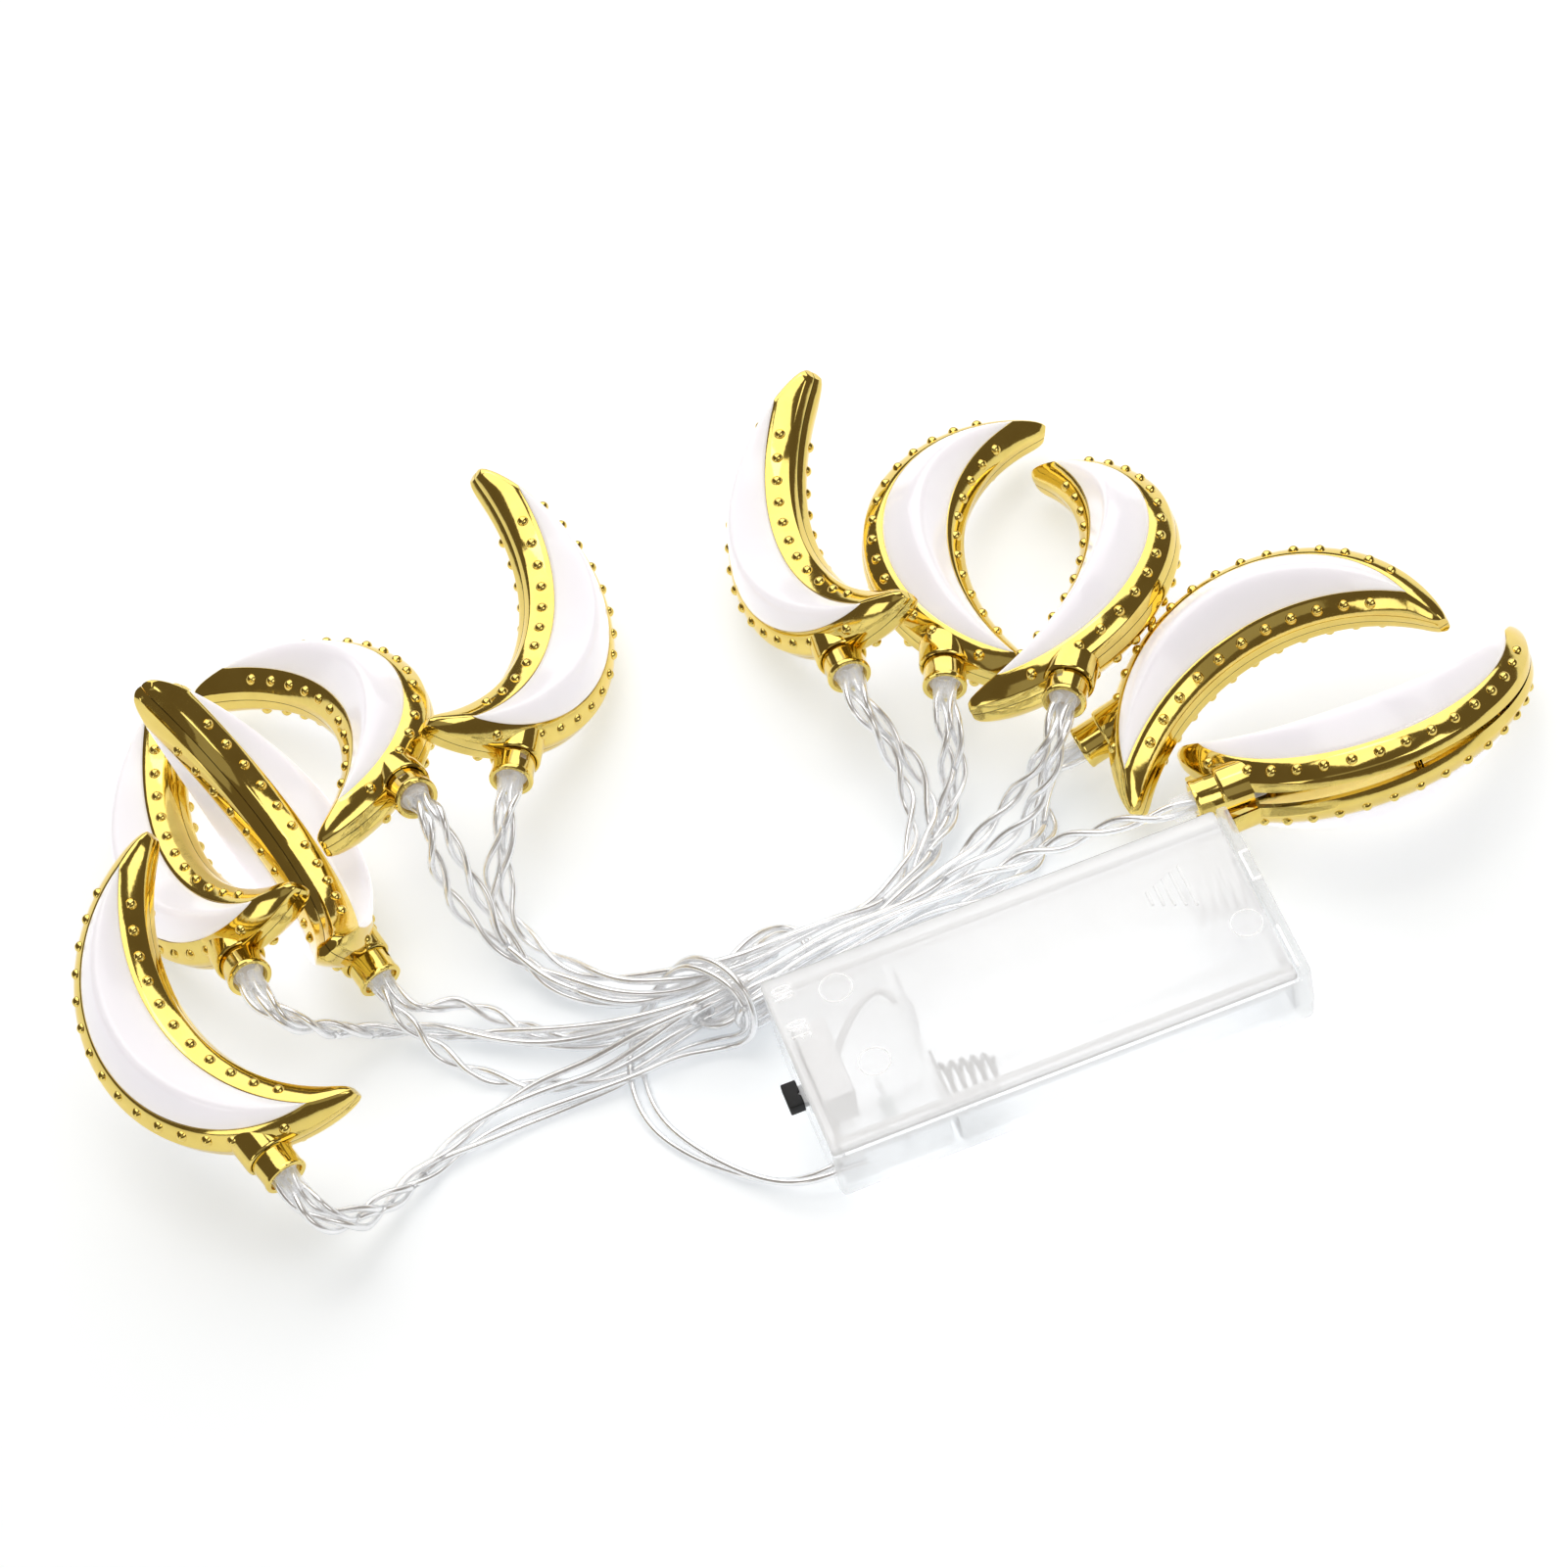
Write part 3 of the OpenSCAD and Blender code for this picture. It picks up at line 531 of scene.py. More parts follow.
LINKS = list(ROUTES)
for li, link in enumerate(LINKS):
    route = [Vector(q) for q in ROUTES[link]]
    # the ends run on into the clear holders
    if link == "lead":
        first = []
        last = [route[-1] + holder_inward(0) * 3.5]
    else:
        first = [route[0] + holder_inward(LETTERS.index(link[0])) * 3.5]
        last = [route[-1] + holder_inward(LETTERS.index(link[1])) * 3.5]
    line = smooth_line(spline(first + route + last), 9, 3)
    fr = frames(line)
    n = len(line)
    step = 0.8
    total = n * step
    # twisted near the sockets, almost parallel in the bundle and where the lead leaves the box
    turns, wind = [], li * 0.9
    for i in range(n):
        s = i * step
        e = total - s if link == "lead" else min(s, total - s)
        far = max(0.0, min(1.0, (e - 26.0) / 30.0))
        far = far * far * (3 - 2 * far)
        wind += 2 * math.pi * step * ((1 - far) / (16.5 + 2.0 * math.sin(s * 0.16 + li)) + far / 82.0)
        loose = math.exp(-((e - 17.0) / 13.0) ** 2)
        r = 0.66 + 0.42 * loose * (0.8 + 0.35 * math.sin(s * 0.27 + li * 1.7)) + far * (0.20 + 0.20 * math.sin(s * 0.083 + li * 2.1))
        if link == "lead" and s < 70:
            r = max(r, 0.78 + 0.3 * math.exp(-((s - 42) / 14.0) ** 2))
        r *= min(1.0, 0.75 + e / 18.0)
        turns.append((wind, r))
    # the two strands close up where the cord turns back on itself
    limit = []
    for i in range(n):
        a, b, c = line[max(i - 3, 0)], line[i], line[min(i + 3, n - 1)]
        k = (b - a).cross(c - a).length
        bend = 99.0 if k < 1e-6 else (b - a).length * (c - b).length * (c - a).length / (2 * k)
        limit.append(0.60 + 0.12 * max(0.0, bend - 3.4))
    limit = [min(limit[max(i - 4, 0):i + 5]) for i in range(n)]
    gaps = [min(t[1], q) for t, q in zip(turns, limit)]
    for _ in range(8):
        gaps = [(gaps[max(i - 1, 0)] + 2 * gaps[i] + gaps[min(i + 1, n - 1)]) / 4 for i in range(n)]
    turns = [(t[0], q) for t, q in zip(turns, gaps)]
    for k in range(2):
        pts = []
        for i in range(n):
            turn, r = turns[i][0] + k * math.pi, turns[i][1]
            t, a, b = fr[i]
            q = line[i] + (a * math.cos(turn) + b * math.sin(turn)) * r
            q.z = max(q.z, STRAND_D / 2 + 0.05)
            pts.append(q)
        pts = smooth_line(pts, 3)
        name = "strand_%s_%d" % (link, k + 1)
        o = curve_object(name, pts, STRAND_D / 2, CLEAR_WIRE, 4)
        core = curve_object(name + "_core", pts, 0.40, CORE, 3)
        for x in (o, core):
            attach(x, "base")
        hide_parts("cord_" + link)

# ------------------------------------------------------------------ moons
R0, H0, DX, RL, HL, W1, W2, XC = 28.3, 32.4, 20.2, 25.6, 35.4, 1.7, 4.5, 1.1
K1, K2 = (W2 - W1) / (R0 - RL), (W2 - W1) / (HL - H0)
PHI_T = math.acos(-XC / R0)
PSI_T = math.acos((DX - XC) / H0)
XL = (RL ** 2 - HL ** 2 + DX ** 2) / (2 * DX)
YL = math.sqrt(RL ** 2 - XL ** 2)
PHI_L = math.atan2(YL, -XL)
PSI_L = math.atan2(YL, DX - XL)
U_L = 0.885
SEAM = 0.06


def ridge(x):
    lo, hi = math.sqrt(H0 ** 2 - (x - DX) ** 2), math.sqrt(R0 ** 2 - x ** 2)
    for _ in range(40):
        y = (lo + hi) / 2
        wo = (R0 - math.hypot(x, y)) * K1
        wi = (math.hypot(x - DX, y) - H0) * K2
        if wo > wi:
            lo = y
        else:
            hi = y
    return y, W1 + (R0 - math.hypot(x, y)) * K1


def on_outer(r, a):
    return Vector((-r * math.cos(a), -r * math.sin(a)))


def on_hollow(r, a):
    return Vector((DX - r * math.cos(a), -r * math.sin(a)))


def station(u):
    """Points across the crescent at one place along it: outer rim, lens edges, hollow rim."""
    sgn = 1 if u >= 0 else -1
    o = on_outer(R0, PHI_T * u)
    i = on_hollow(H0, PSI_T * u)
    a = abs(u)
    if a <= U_L:
        po = on_outer(RL, sgn * PHI_L * a / U_L)
        pi = on_hollow(HL, sgn * PSI_L * a / U_L)
        w = W2
    else:
        x = XL + (XC - XL) * (a - U_L) / (1 - U_L)
        y, w = ridge(x)
        po = pi = Vector((x, -sgn * y))
    return o, po, pi, i, w


def crown(low, top, rise=0.06):
    """Points across a bevel from its lower to its upper edge, slightly domed as on a moulded part."""
    h = Vector((top.x - low.x, top.y - low.y))
    run, dz = h.length, top.z - low.z
    wide = math.hypot(run, dz)
    if run < 0.02:
        return [low.lerp(top, t) for t in (0.25, 0.5, 0.75)]
    nrm = Vector((-h.x / run * dz, -h.y / run * dz, run)) / wide
    return [low.lerp(top, t) + nrm * (rise * wide * 4 * t * (1 - t)) for t in (0.25, 0.5, 0.75)]


TIP = {1: 0.70, 0.985: 0.87, 0.965: 0.95, 0.945: 0.985}


def shell_half():
    us = [-1, -0.985, -0.965, -0.945, -0.92, -0.90]
    us = us + [-U_L + 2 * U_L * k / 84 for k in range(85)] + [-u for u in reversed(us)]
    v, f = [], []
    low = set()
    for u in us:
        o, po, pi, i, w = station(u)
        # the tips round off
        t = TIP.get(abs(u), 1.0)
        mid = (o + i) / 2
        o, po, pi, i = (mid + (q - mid) * t for q in (o, po, pi, i))
        w, w1 = w * t, W1 * t
        c = max(0.0, min(1.0, (0.94 - abs(u)) / 0.12))
        wc = SEAM + 2.5 * c * c * (3 - 2 * c)
        d = (i - o)
        ins = min(1.2, 0.28 * d.length) / d.length
        oi, ii = o + d * ins, i - d * ins
        # shallow seat for the lens, which runs out at the lens's points
        g = (pi - po)
        sink = 0.35 * max(0.0, min(1.0, g.length / 1.2))
        nip = 0.02 if g.length > 0.1 else 0.0
        gd = g.normalized() * nip if nip else Vector((0, 0))
        po2, pi2 = po + gd, pi - gd
        if sink > 0.05:
            low.add((round(po2.x, 3), round(po2.y, 3)))
            low.add((round(pi2.x, 3), round(pi2.y, 3)))
        out = d / d.length * 0.07
        hz = (SEAM + w1) / 2
        v += [(o.x, o.y, SEAM), (o.x - out.x, o.y - out.y, hz), (o.x, o.y, w1)]
        v += [tuple(q) for q in crown(Vector((o.x, o.y, w1)), Vector((po.x, po.y, w)))]
        v += [(po.x, po.y, w), (po2.x, po2.y, w - sink), (pi2.x, pi2.y, w - sink), (pi.x, pi.y, w)]
        v += [tuple(q) for q in reversed(crown(Vector((i.x, i.y, w1)), Vector((pi.x, pi.y, w))))]
        v += [(i.x, i.y, w1), (i.x + out.x, i.y + out.y, hz), (i.x, i.y, SEAM), (ii.x, ii.y, SEAM), (ii.x, ii.y, wc), (oi.x, oi.y, wc), (oi.x, oi.y, SEAM)]
    n, m = len(us), 20
    for s in range(n - 1):
        for k in range(m):
            l = (k + 1) % m
            f.append((s * m + k, s * m + l, (s + 1) * m + l, (s + 1) * m + k))
    f.append(tuple(range(m)))
    f.append(tuple((n - 1) * m + k for k in range(m - 1, -1, -1)))
    return closed(v, f, 0.2, 2, 16.0, keep=lambda e: min(x.co.z for x in e.verts) > 0.8 and
                  not any((round(x.co.x, 3), round(x.co.y, 3)) in low and x.co.z < W2 - 0.02 for x in e.verts))


def bead(p, nrm, r=0.86, h=0.80, seg=14, rings=5):
    nrm = Vector(nrm).normalized()
    a = nrm.orthogonal().normalized()
    b = nrm.cross(a)
    v = []
    for k in range(rings):
        t = math.pi / 2 * k / rings
        for j in range(seg):
            g = 2 * math.pi * j / seg
            rr = r * math.cos(t) * (1.0 + 0.10 * (1 - k / rings) ** 3)
            v.append(p + (a * math.cos(g) + b * math.sin(g)) * rr + nrm * (h * math.sin(t) - 0.12))
    v.append(p + nrm * (h - 0.12))
    f = []
    for k in range(rings - 1):
        for j in range(seg):
            l = (j + 1) % seg
            f.append((k * seg + j, k * seg + l, (k + 1) * seg + l, (k + 1) * seg + j))
    for j in range(seg):
        f.append(((rings - 1) * seg + j, (rings - 1) * seg + (j + 1) % seg, len(v) - 1))
    f.append(tuple(range(seg - 1, -1, -1)))
    return v, f


def add_beads(bld):
    for k in range(16):
        a = 1.192 - 0.158 * k
        q = on_outer(27.0, a)
        if abs(q.x + 15) < 2.2 and q.y < -18:
            continue
        nrm = Vector((-math.cos(a) * 2.8, -math.sin(a) * 2.8, 2.7))
        v, f = bead(Vector((q.x, q.y, W1 + (R0 - 27.0) * K1)) + nrm.normalized() * 0.2, nrm)
        bld.add(v, f)
    for k in range(11):
        a = 0.629 - 0.125 * k
        q = on_hollow(33.9, a)
        nrm = Vector((math.cos(a) * 2.8, math.sin(a) * 2.8, 3.0))
        v, f = bead(Vector((q.x, q.y, W1 + (33.9 - H0) * K2)) + nrm.normalized() * 0.2, nrm)
        bld.add(v, f)


SX = -15.0


def hood(bld):
    prof = [(3.45, -20.0), (3.45, -25.2), (3.5, -25.5), (3.75, -25.6), (3.95, -25.45), (4.05, -25.1), (4.1, -20.0)]
    v, f = lathe(prof, 28, 0.02, math.pi - 0.02, (SX, 0))
    bld.add_bm(closed(v, f))


def pegs(bld, up):
    for x, y in ((-25.3, 3.0), (-16.0, 19.6)):
        r = 0.65 if up else 1.5
        z0, z1 = (-1.2, 2.4) if up else (0.1, 2.4)
        n = 16
        v = [(x + r * math.cos(2 * math.pi * k / n), y + r * math.sin(2 * math.pi * k / n), z) for z in (z0, z1) for k in range(n)]
        f = [(k, (k + 1) % n, n + (k + 1) % n, n + k) for k in range(n)] + [tuple(range(n - 1, -1, -1)), tuple(range(n, 2 * n))]
        bld.add_bm(closed(v, f))


def front_mesh():
    b = Builder()
    b.add_bm(shell_half())
    add_beads(b)
    hood(b)
    pegs(b, True)
    return b.mesh("moon_front", [GOLD], 38.0)


def socket_bm():
    prof = [(2.62, -29.45), (2.78, -29.7), (3.28, -29.75), (3.46, -29.62), (3.52, -29.35), (3.46, -29.0), (3.4, -28.8),
            (3.4, -21.0), (2.62, -21.0)]
    v, f = lathe(prof, 48, centre=(SX, 0))
    tube = bm_object(closed(v, f))
    # the rear half is built upside up and turned over later, so the window is on the upper side here
    win = bm_object(block(SX - 0.75, SX + 0.75, -27.3, -25.7, 2.0, 6.0, 0.15, 2))
    return boolean(tube, [win])


def rear_mesh():
    b = Builder()
    b.add_bm(shell_half())
    add_beads(b)
    hood(b)
    pegs(b, False)
    b.add_bm(socket_bm())
    return b.mesh("moon_rear", [GOLD], 38.0, flip_z=True)


def lens_half():
    """Two faces that rise from the bevels and meet in a rounded crest."""
    nu, nv = 120, 32
    v, f = [], []
    for s in range(nu + 1):
        t = s / nu
        u = -U_L + 2 * U_L * (0.5 - 0.5 * math.cos(math.pi * t)) * 0.998 + 0.001 * U_L
        o, po, pi, i, w = station(u)
        wide = (pi - po).length
        c0 = min(0.25, 0.15 / max(wide, 0.01))
        g = max(0.02, min(0.95, wide / 8.0))
        for k in range(nv + 1):
            c = c0 + (1 - 2 * c0) * k / nv
            q = po + (pi - po) * c
            do = max(0.0, RL - math.hypot(q.x, q.y))
            di = max(0.0, math.hypot(q.x - DX, q.y) - HL)
            d = max(0.0, min(do, di) - g * math.log(1 + math.exp(-abs(do - di) / g)))
            v.append((q.x, q.y, W2 + 1.036 * d - 0.012 * d * d))
        for k in (1, 0):
            q = po + (pi - po) * (1 - c0 if k else c0)
            v.append((q.x, q.y, W2 - 0.36))
    m = nv + 3
    for s in range(nu):
        for k in range(m):
            l = (k + 1) % m
            f.append((s * m + k, s * m + l, (s + 1) * m + l, (s + 1) * m + k))
    f.append(tuple(range(m)))
    f.append(tuple(nu * m + k for k in range(m - 1, -1, -1)))
    return closed(v, f)


def lens_mesh(flip):
    b = Builder()
    b.add_bm(lens_half())
    return b.mesh("moon_lens_rear" if flip else "moon_lens_front", [LENS], 60.0, flip_z=flip)


def led_mesh(name, snout):
    """The clear holder in the socket, its snout where the cords enter, and the light."""
    b = Builder()
    prof = [(0.02, -28.9), (2.2, -28.9), (2.42, -28.7), (2.5, -28.4), (2.5, -19.0), (2.3, -18.5), (0.02, -18.5)]
    v, f = lathe(prof, 40, centre=(SX, 0))
    b.add_bm(closed(v, f), 0)
    if snout:
        e = -29.7 - snout
        prof = [(1.25, e + 0.1), (1.45, e - 0.05), (1.72, e), (1.88, e + 0.25), (1.92, e + 0.6), (1.8, e + 0.9), (1.95, -29.4), (2.0, -28.8), (1.3, -28.8)]
        v, f = lathe(prof, 36, centre=(SX, 0))
        b.add_bm(closed(v, f), 0)
    prof = [(0.02, -18.6), (1.9, -18.6), (1.9, -17.6), (1.5, -17.5), (1.5, -15.2)]
    prof += [(1.5 * math.cos(a), -15.2 + 1.5 * math.sin(a)) for a in (0.3, 0.6, 0.9, 1.2, 1.5)] + [(0.02, -13.7)]
    v, f = lathe(prof, 32, centre=(SX, 0))
    b.add_bm(closed(v, f), 1)
    return b.mesh(name, [CLEAR_HOLDER, LED_BODY], 40.0)


FRONT, REAR = front_mesh(), rear_mesh()
LENS_F, LENS_R = lens_mesh(False), lens_mesh(True)
LED_LONG, LED_SHORT = led_mesh("moon_led_long", 3.4), led_mesh("moon_led_short", 1.2)
for i, ch in enumerate(LETTERS):
    m, g = moon_matrix(i), moon_matrix(i, MOON_GAPE[i])
    put("moon_%s_front" % ch, FRONT, "base", ["moon_%s_front_shell" % ch], g)
    put("moon_%s_rear" % ch, REAR, "base", ["moon_%s_rear_shell" % ch], m)
    put("moon_%s_lens_front" % ch, LENS_F, "base", ["moon_%s_lenses" % ch], g)
    put("moon_%s_lens_rear" % ch, LENS_R, "base", ["moon_%s_lenses" % ch], m)
    put("moon_%s_light" % ch, LED_SHORT if ch in "cdh" else LED_LONG, "base", ["moon_%s_led" % ch], m)

# ------------------------------------------------------------------ battery box
BOX_M = Matrix.Translation(BOX * MM)


def trough_bm(x0, x1, w, z0, z1, r, seg=10, bevel=0.0, ends=0.0):
    """A bar along X with rounded lower edges."""
    h = w / 2
    prof = [(-h, z1)]
    prof += [(-h + r - r * math.cos(a), z0 + r - r * math.sin(a)) for a in [math.pi / 2 * k / seg for k in range(seg + 1)]]
    prof += [(h - r + r * math.sin(a), z0 + r - r * math.cos(a)) for a in [math.pi / 2 * k / seg for k in range(seg + 1)]]
    prof += [(h, z1)]
    n = len(prof)
    v = [(x, y, z) for x in (x0, x1) for y, z in prof]
    f = [(k, (k + 1) % n, n + (k + 1) % n, n + k) for k in range(n)] + [tuple(range(n - 1, -1, -1)), tuple(range(n, 2 * n))]
    bm = closed(v, f)
    if ends:
        es = [e for e in bm.edges if abs(e.verts[0].co.x - e.verts[1].co.x) < 1e-5 and e.verts[0].co.z < z1 - 0.01 or
              (abs(e.verts[0].co.x - e.verts[1].co.x) < 1e-5 and e.verts[1].co.z < z1 - 0.01)]
        bmesh.ops.bevel(bm, geom=es, offset=ends, segments=4, profile=0.5, affect="EDGES", clamp_overlap=True)
        bmesh.ops.recalc_face_normals(bm, faces=bm.faces)
    return bm


def tray_mesh():
    outer = bm_object(trough_bm(-37.5, 37.5, 33.0, 0.0, 15.7, 8.0, 12, ends=1.0))
    wall = bm_object(block(35.7, 37.5, -16.5, 16.5, 9.0, 17.5, 0.45, 3))
    bm = boolean(outer, [wall], "UNION")
    base = bm_object(bm)
    cut = [
        bm_object(trough_bm(-18.0, 35.7, 30.0, 1.0, 24.0, 7.0, 12, ends=0.4)),
        bm_object(trough_bm(-36.0, -19.2, 30.0, 1.0, 24.0, 7.0, 12, ends=0.4)),
        bm_object(block(-20.6, -16.6, -15.0, 15.0, 12.4, 22.0, 0.0)),
        bm_object(block(-38.5, 35.7, 14.5, 15.8, 13.2, 14.4, 0.0)),
        bm_object(block(-38.5, 35.7, -15.8, -14.5, 13.2, 14.4, 0.0)),
        bm_object(block(-38.5, -35.8, 13.2, 15.1, 13.2, 22.0, 0.0)),
        bm_object(block(-38.5, -35.8, -15.1, -13.2, 13.2, 22.0, 0.0)),
        bm_object(block(-38.5, -35.8, -4.9, 3.5, 11.7, 14.3, 0.25, 2)),
    ]
    n = 20
    v = [(x, -11 + 1.25 * math.cos(2 * math.pi * k / n), 5 + 1.25 * math.sin(2 * math.pi * k / n)) for x in (-38.6, -34.5) for k in range(n)]
    f = [(k, (k + 1) % n, n + (k + 1) % n, n + k) for k in range(n)] + [tuple(range(n - 1, -1, -1)), tuple(range(n, 2 * n))]
    cut.append(bm_object(closed(v, f)))
    b = Builder()
    b.add_bm(boolean(base, cut))
    # the rib between the cells, end stops, and the posts under the switch
    b.add_bm(block(-12.0, 29.7, -0.5, 0.5, 0.6, 3.0, 0.3))
    b.add_bm(block(-36.2, -19.0, -0.5, 0.5, 0.6, 3.0, 0.3))
    for y in (-5.2, 6.4):
        b.add_bm(block(-35, -31, y, y + 1.4, 0.6, 9.4, 0.2))
    b.add_bm(block(35.75, 36.2, -15.2, -7.0, 17.3, 17.66, 0.12), 1)
    b.add_bm(block(35.75, 36.2, 1.8, 7.6, 17.3, 17.66, 0.12), 1)
    b.add_bm(block(36.2, 37.3, 1.8, 2.2, 17.3, 17.66, 0.12), 1)
    b.add_bm(block(36.2, 37.3, 7.2, 7.6, 17.3, 17.66, 0.12), 1)
    return b.mesh("battery_tray_shell", [CLEAR_BOX, MARKS], 30.0)


def cover_mesh():
    b = Builder()
    b.add_bm(block(-37.5, 35.4, -16.5, 16.5, 16.0, 17.5, 0.6, 4))
    for s in (-1, 1):
        y0, y1 = (13.6, 14.7) if s > 0 else (-14.7, -13.6)
        b.add_bm(block(-35.5, 35.1, y0, y1, 13.5, 16.2, 0.2))
        y0, y1 = (14.5, 15.5) if s > 0 else (-15.5, -14.5)
        b.add_bm(block(-35.5, 35.1, y0, y1, 13.5, 14.1, 0.12))
    # thumb ribs
    for k in range(5):
        b.add_bm(block(20.5 + 1.5 * k, 21.0 + 1.5 * k, 3.9 - 0.7 * k, 6.7 + 0.6 * k, 17.3, 17.8, 0.2), 0)
    # round marks left by the mould's pins
    for x, y, r in ((-27.3, 10.6, 2.5), (-26.4, -4.1, 2.4), (32.1, -4.8, 2.4)):
        n = 40
        v, f = [], []
        for k in range(n):
            a = 2 * math.pi * k / n
            for rr, z in ((r - 0.10, 17.4), (r - 0.06, 17.54), (r + 0.06, 17.54), (r + 0.10, 17.4)):
                v.append((x + rr * math.cos(a), y + rr * math.sin(a), z))
        for k in range(n):
            for j in range(4):
                l = (j + 1) % 4
                f.append((k * 4 + j, k * 4 + l, ((k + 1) % n) * 4 + l, ((k + 1) % n) * 4 + j))
        b.add_bm(closed(v, f), 1)
    return b.mesh("battery_cover_plate", [CLEAR_COVER, MARKS], 30.0)


put("box_tray", tray_mesh(), "base", ["battery_tray"], BOX_M)
put("box_cover", cover_mesh(), "cover", ["battery_cover"], BOX_M)


def stroke(b, p, q, w=0.19):
    """A thin raised bar on the cover from p to q."""
    p, q = Vector(p), Vector(q)
    d = (q - p).normalized() * w / 2
    n = Vector((-d.y, d.x))
    c = [p - d - n, q + d - n, q + d + n, p - d + n]
    v = [(x.x, x.y, z) for z in (17.42, 17.62) for x in c]
    b.add_bm(closed(v, [(3, 2, 1, 0), (4, 5, 6, 7), (0, 1, 5, 4), (1, 2, 6, 5), (2, 3, 7, 6), (3, 0, 4, 7)], 0.04, 2))


def lettering(name, text, places):
    """Tall narrow letters that read towards -Y."""
    b = Builder()
    for ch, (x, y) in zip(text, places):
        at = lambda a, h: (x + h, y - a)
        if ch == "O":
            n = 36
            v, f = [], []
            for k in range(n):
                g = 2 * math.pi * k / n
                ca, sa = math.cos(g), math.sin(g)
                ca, sa = math.copysign(abs(ca) ** 0.75, ca), math.copysign(abs(sa) ** 0.85, sa)
                for ra, rh, z in ((0.34, 1.31, 17.42), (0.34, 1.31, 17.62), (0.52, 1.49, 17.62), (0.52, 1.49, 17.42)):
                    v.append((*at(ra * ca, rh * sa), z))
            for k in range(n):
                for j in range(4):
                    l = (j + 1) % 4
                    f.append((k * 4 + j, k * 4 + l, ((k + 1) % n) * 4 + l, ((k + 1) % n) * 4 + j))
            b.add_bm(closed(v, f))
        elif ch == "F":
            stroke(b, at(-0.38, -1.37), at(-0.38, 1.37))
            stroke(b, at(-0.3, 1.37), at(0.38, 1.37))
            stroke(b, at(-0.3, 0.1), at(0.3, 0.1))
        else:
            stroke(b, at(-0.38, -1.37), at(-0.38, 1.37))
            stroke(b, at(0.38, -1.37), at(0.38, 1.37))
            stroke(b, at(-0.38, 1.37), at(0.38, -1.37))
    return put(name, b.mesh(name, [MARKS], 40.0), "cover", (), BOX_M)


lettering("label_on", "ON", ((-34.9, 13.8), (-34.9, 12.5)))
lettering("label_off", "OFF", ((-34.8, 7.05), (-34.8, 5.75), (-34.8, 4.45)))


# switch
def switch_meshes():
    base = bm_object(block(-35.6, -30.4, -6.5, 8.0, 9.4, 15.0, 0.35, 2))
    chan = bm_object(block(-36.4, -33.0, -5.4, 4.0, 11.1, 14.9, 0.0))
    b = Builder()
    b.add_bm(boolean(base, [chan]))
    b.add_bm(block(-35.4, -30.6, -6.3, 7.8, 14.9, 15.4, 0.15, 2), 2)
    for y in (-2.0, 1.5, 5.0):
        b.add_bm(block(-32.8, -32.4, y, y + 1.0, 6.4, 9.5, 0.1), 1)
    body = b.mesh("switch_body_shell", [GREY, STEEL, CAP], 30.0)
    b = Builder()
    head = bm_object(block(-40.35, -38.0, -4.3, 0.25, 12.0, 14.1, 0.2, 3))
    n = 16
    v = [(-37.9 + 0.5 * math.cos(2 * math.pi * k / n), -2.2 + 0.5 * math.sin(2 * math.pi * k / n), z) for z in (11.0, 15.0) for k in range(n)]
    f = [(k, (k + 1) % n, n + (k + 1) % n, n + k) for k in range(n)] + [tuple(range(n - 1, -1, -1)), tuple(range(n, 2 * n))]
    b.add_bm(boolean(head, [bm_object(closed(v, f))]))
    b.add_bm(block(-38.5, -35.1, -3.9, -0.5, 12.2, 13.4, 0.2, 2), 1)
    b.add_bm(block(-35.3, -33.4, -5.1, 0.7, 11.5, 14.5, 0.2, 2))
    knob = b.mesh("switch_knob", [BLACK, PALE], 30.0)
    return body, knob


sw_body, sw_knob = switch_meshes()
put("switch_housing", sw_body, "base", ["switch_body"], BOX_M)
put("switch_knob", sw_knob, "slider", ["switch_slider"], BOX_M)


# contacts
def tube_mesh(name, pts, r, mat, seg=10):
    fr = frames(pts)
    v, f = [], []
    n = len(pts)
    for p, (t, a, b) in zip(pts, fr):
        for k in range(seg):
            g = 2 * math.pi * k / seg
            v.append(p + (a * math.cos(g) + b * math.sin(g)) * r)
    for i in range(n - 1):
        for k in range(seg):
            l = (k + 1) % seg
            f.append((i * seg + k, i * seg + l, (i + 1) * seg + l, (i + 1) * seg + k))
    f.append(tuple(range(seg - 1, -1, -1)))
    f.append(tuple((n - 1) * seg + k for k in range(seg)))
    b = Builder()
    b.add_bm(closed(v, f))
    return b.mesh(name, [mat], 50.0)


def coil_points(x0, d, y):
    n = 5 * 28
    return [Vector((x0 + d * 8.0 * k / n, y + (4 - k / n) * math.cos(2 * math.pi * k / 28), 8.5 + (4 - k / n) * math.sin(2 * math.pi * k / 28)))
            for k in range(n + 1)]


put("spring_negative", tube_mesh("coil_neg", coil_points(-17.15, 1, -7.5), 0.38, SPRING), "base", ["negative_spring"], BOX_M)
put("spring_bridge", tube_mesh("coil_bridge", coil_points(34.85, -1, 7.5), 0.35, TINNED), "base", ["bridge_spring"], BOX_M)


def plate_mesh(name, x0, y0, y1, bump_x=None, bump_y=0.0, mat=STEEL):
    b = Builder()
    b.add_bm(block(x0, x0 + 0.4, y0, y1, 3.0, 12.6, 0.12, 2))
    if bump_x is not None:
        v, f = [], []
        n = 28
        prof = [(0.02, 0.0), (2.4, 0.0), (2.3, 0.45), (1.9, 0.75), (0.02, 0.8)]
        for k in range(n):
            a = 2 * math.pi * k / n
            for r, h in prof:
                v.append((bump_x[0] + bump_x[1] * h, bump_y + r * math.cos(a), 8.5 + r * math.sin(a)))
        m = len(prof)
        for k in range(n):
            for j in range(m):
                l = (j + 1) % m
                f.append((k * m + j, k * m + l, ((k + 1) % n) * m + l, ((k + 1) % n) * m + j))
        b.add_bm(closed(v, f))
    return b.mesh(name, [mat], 35.0)
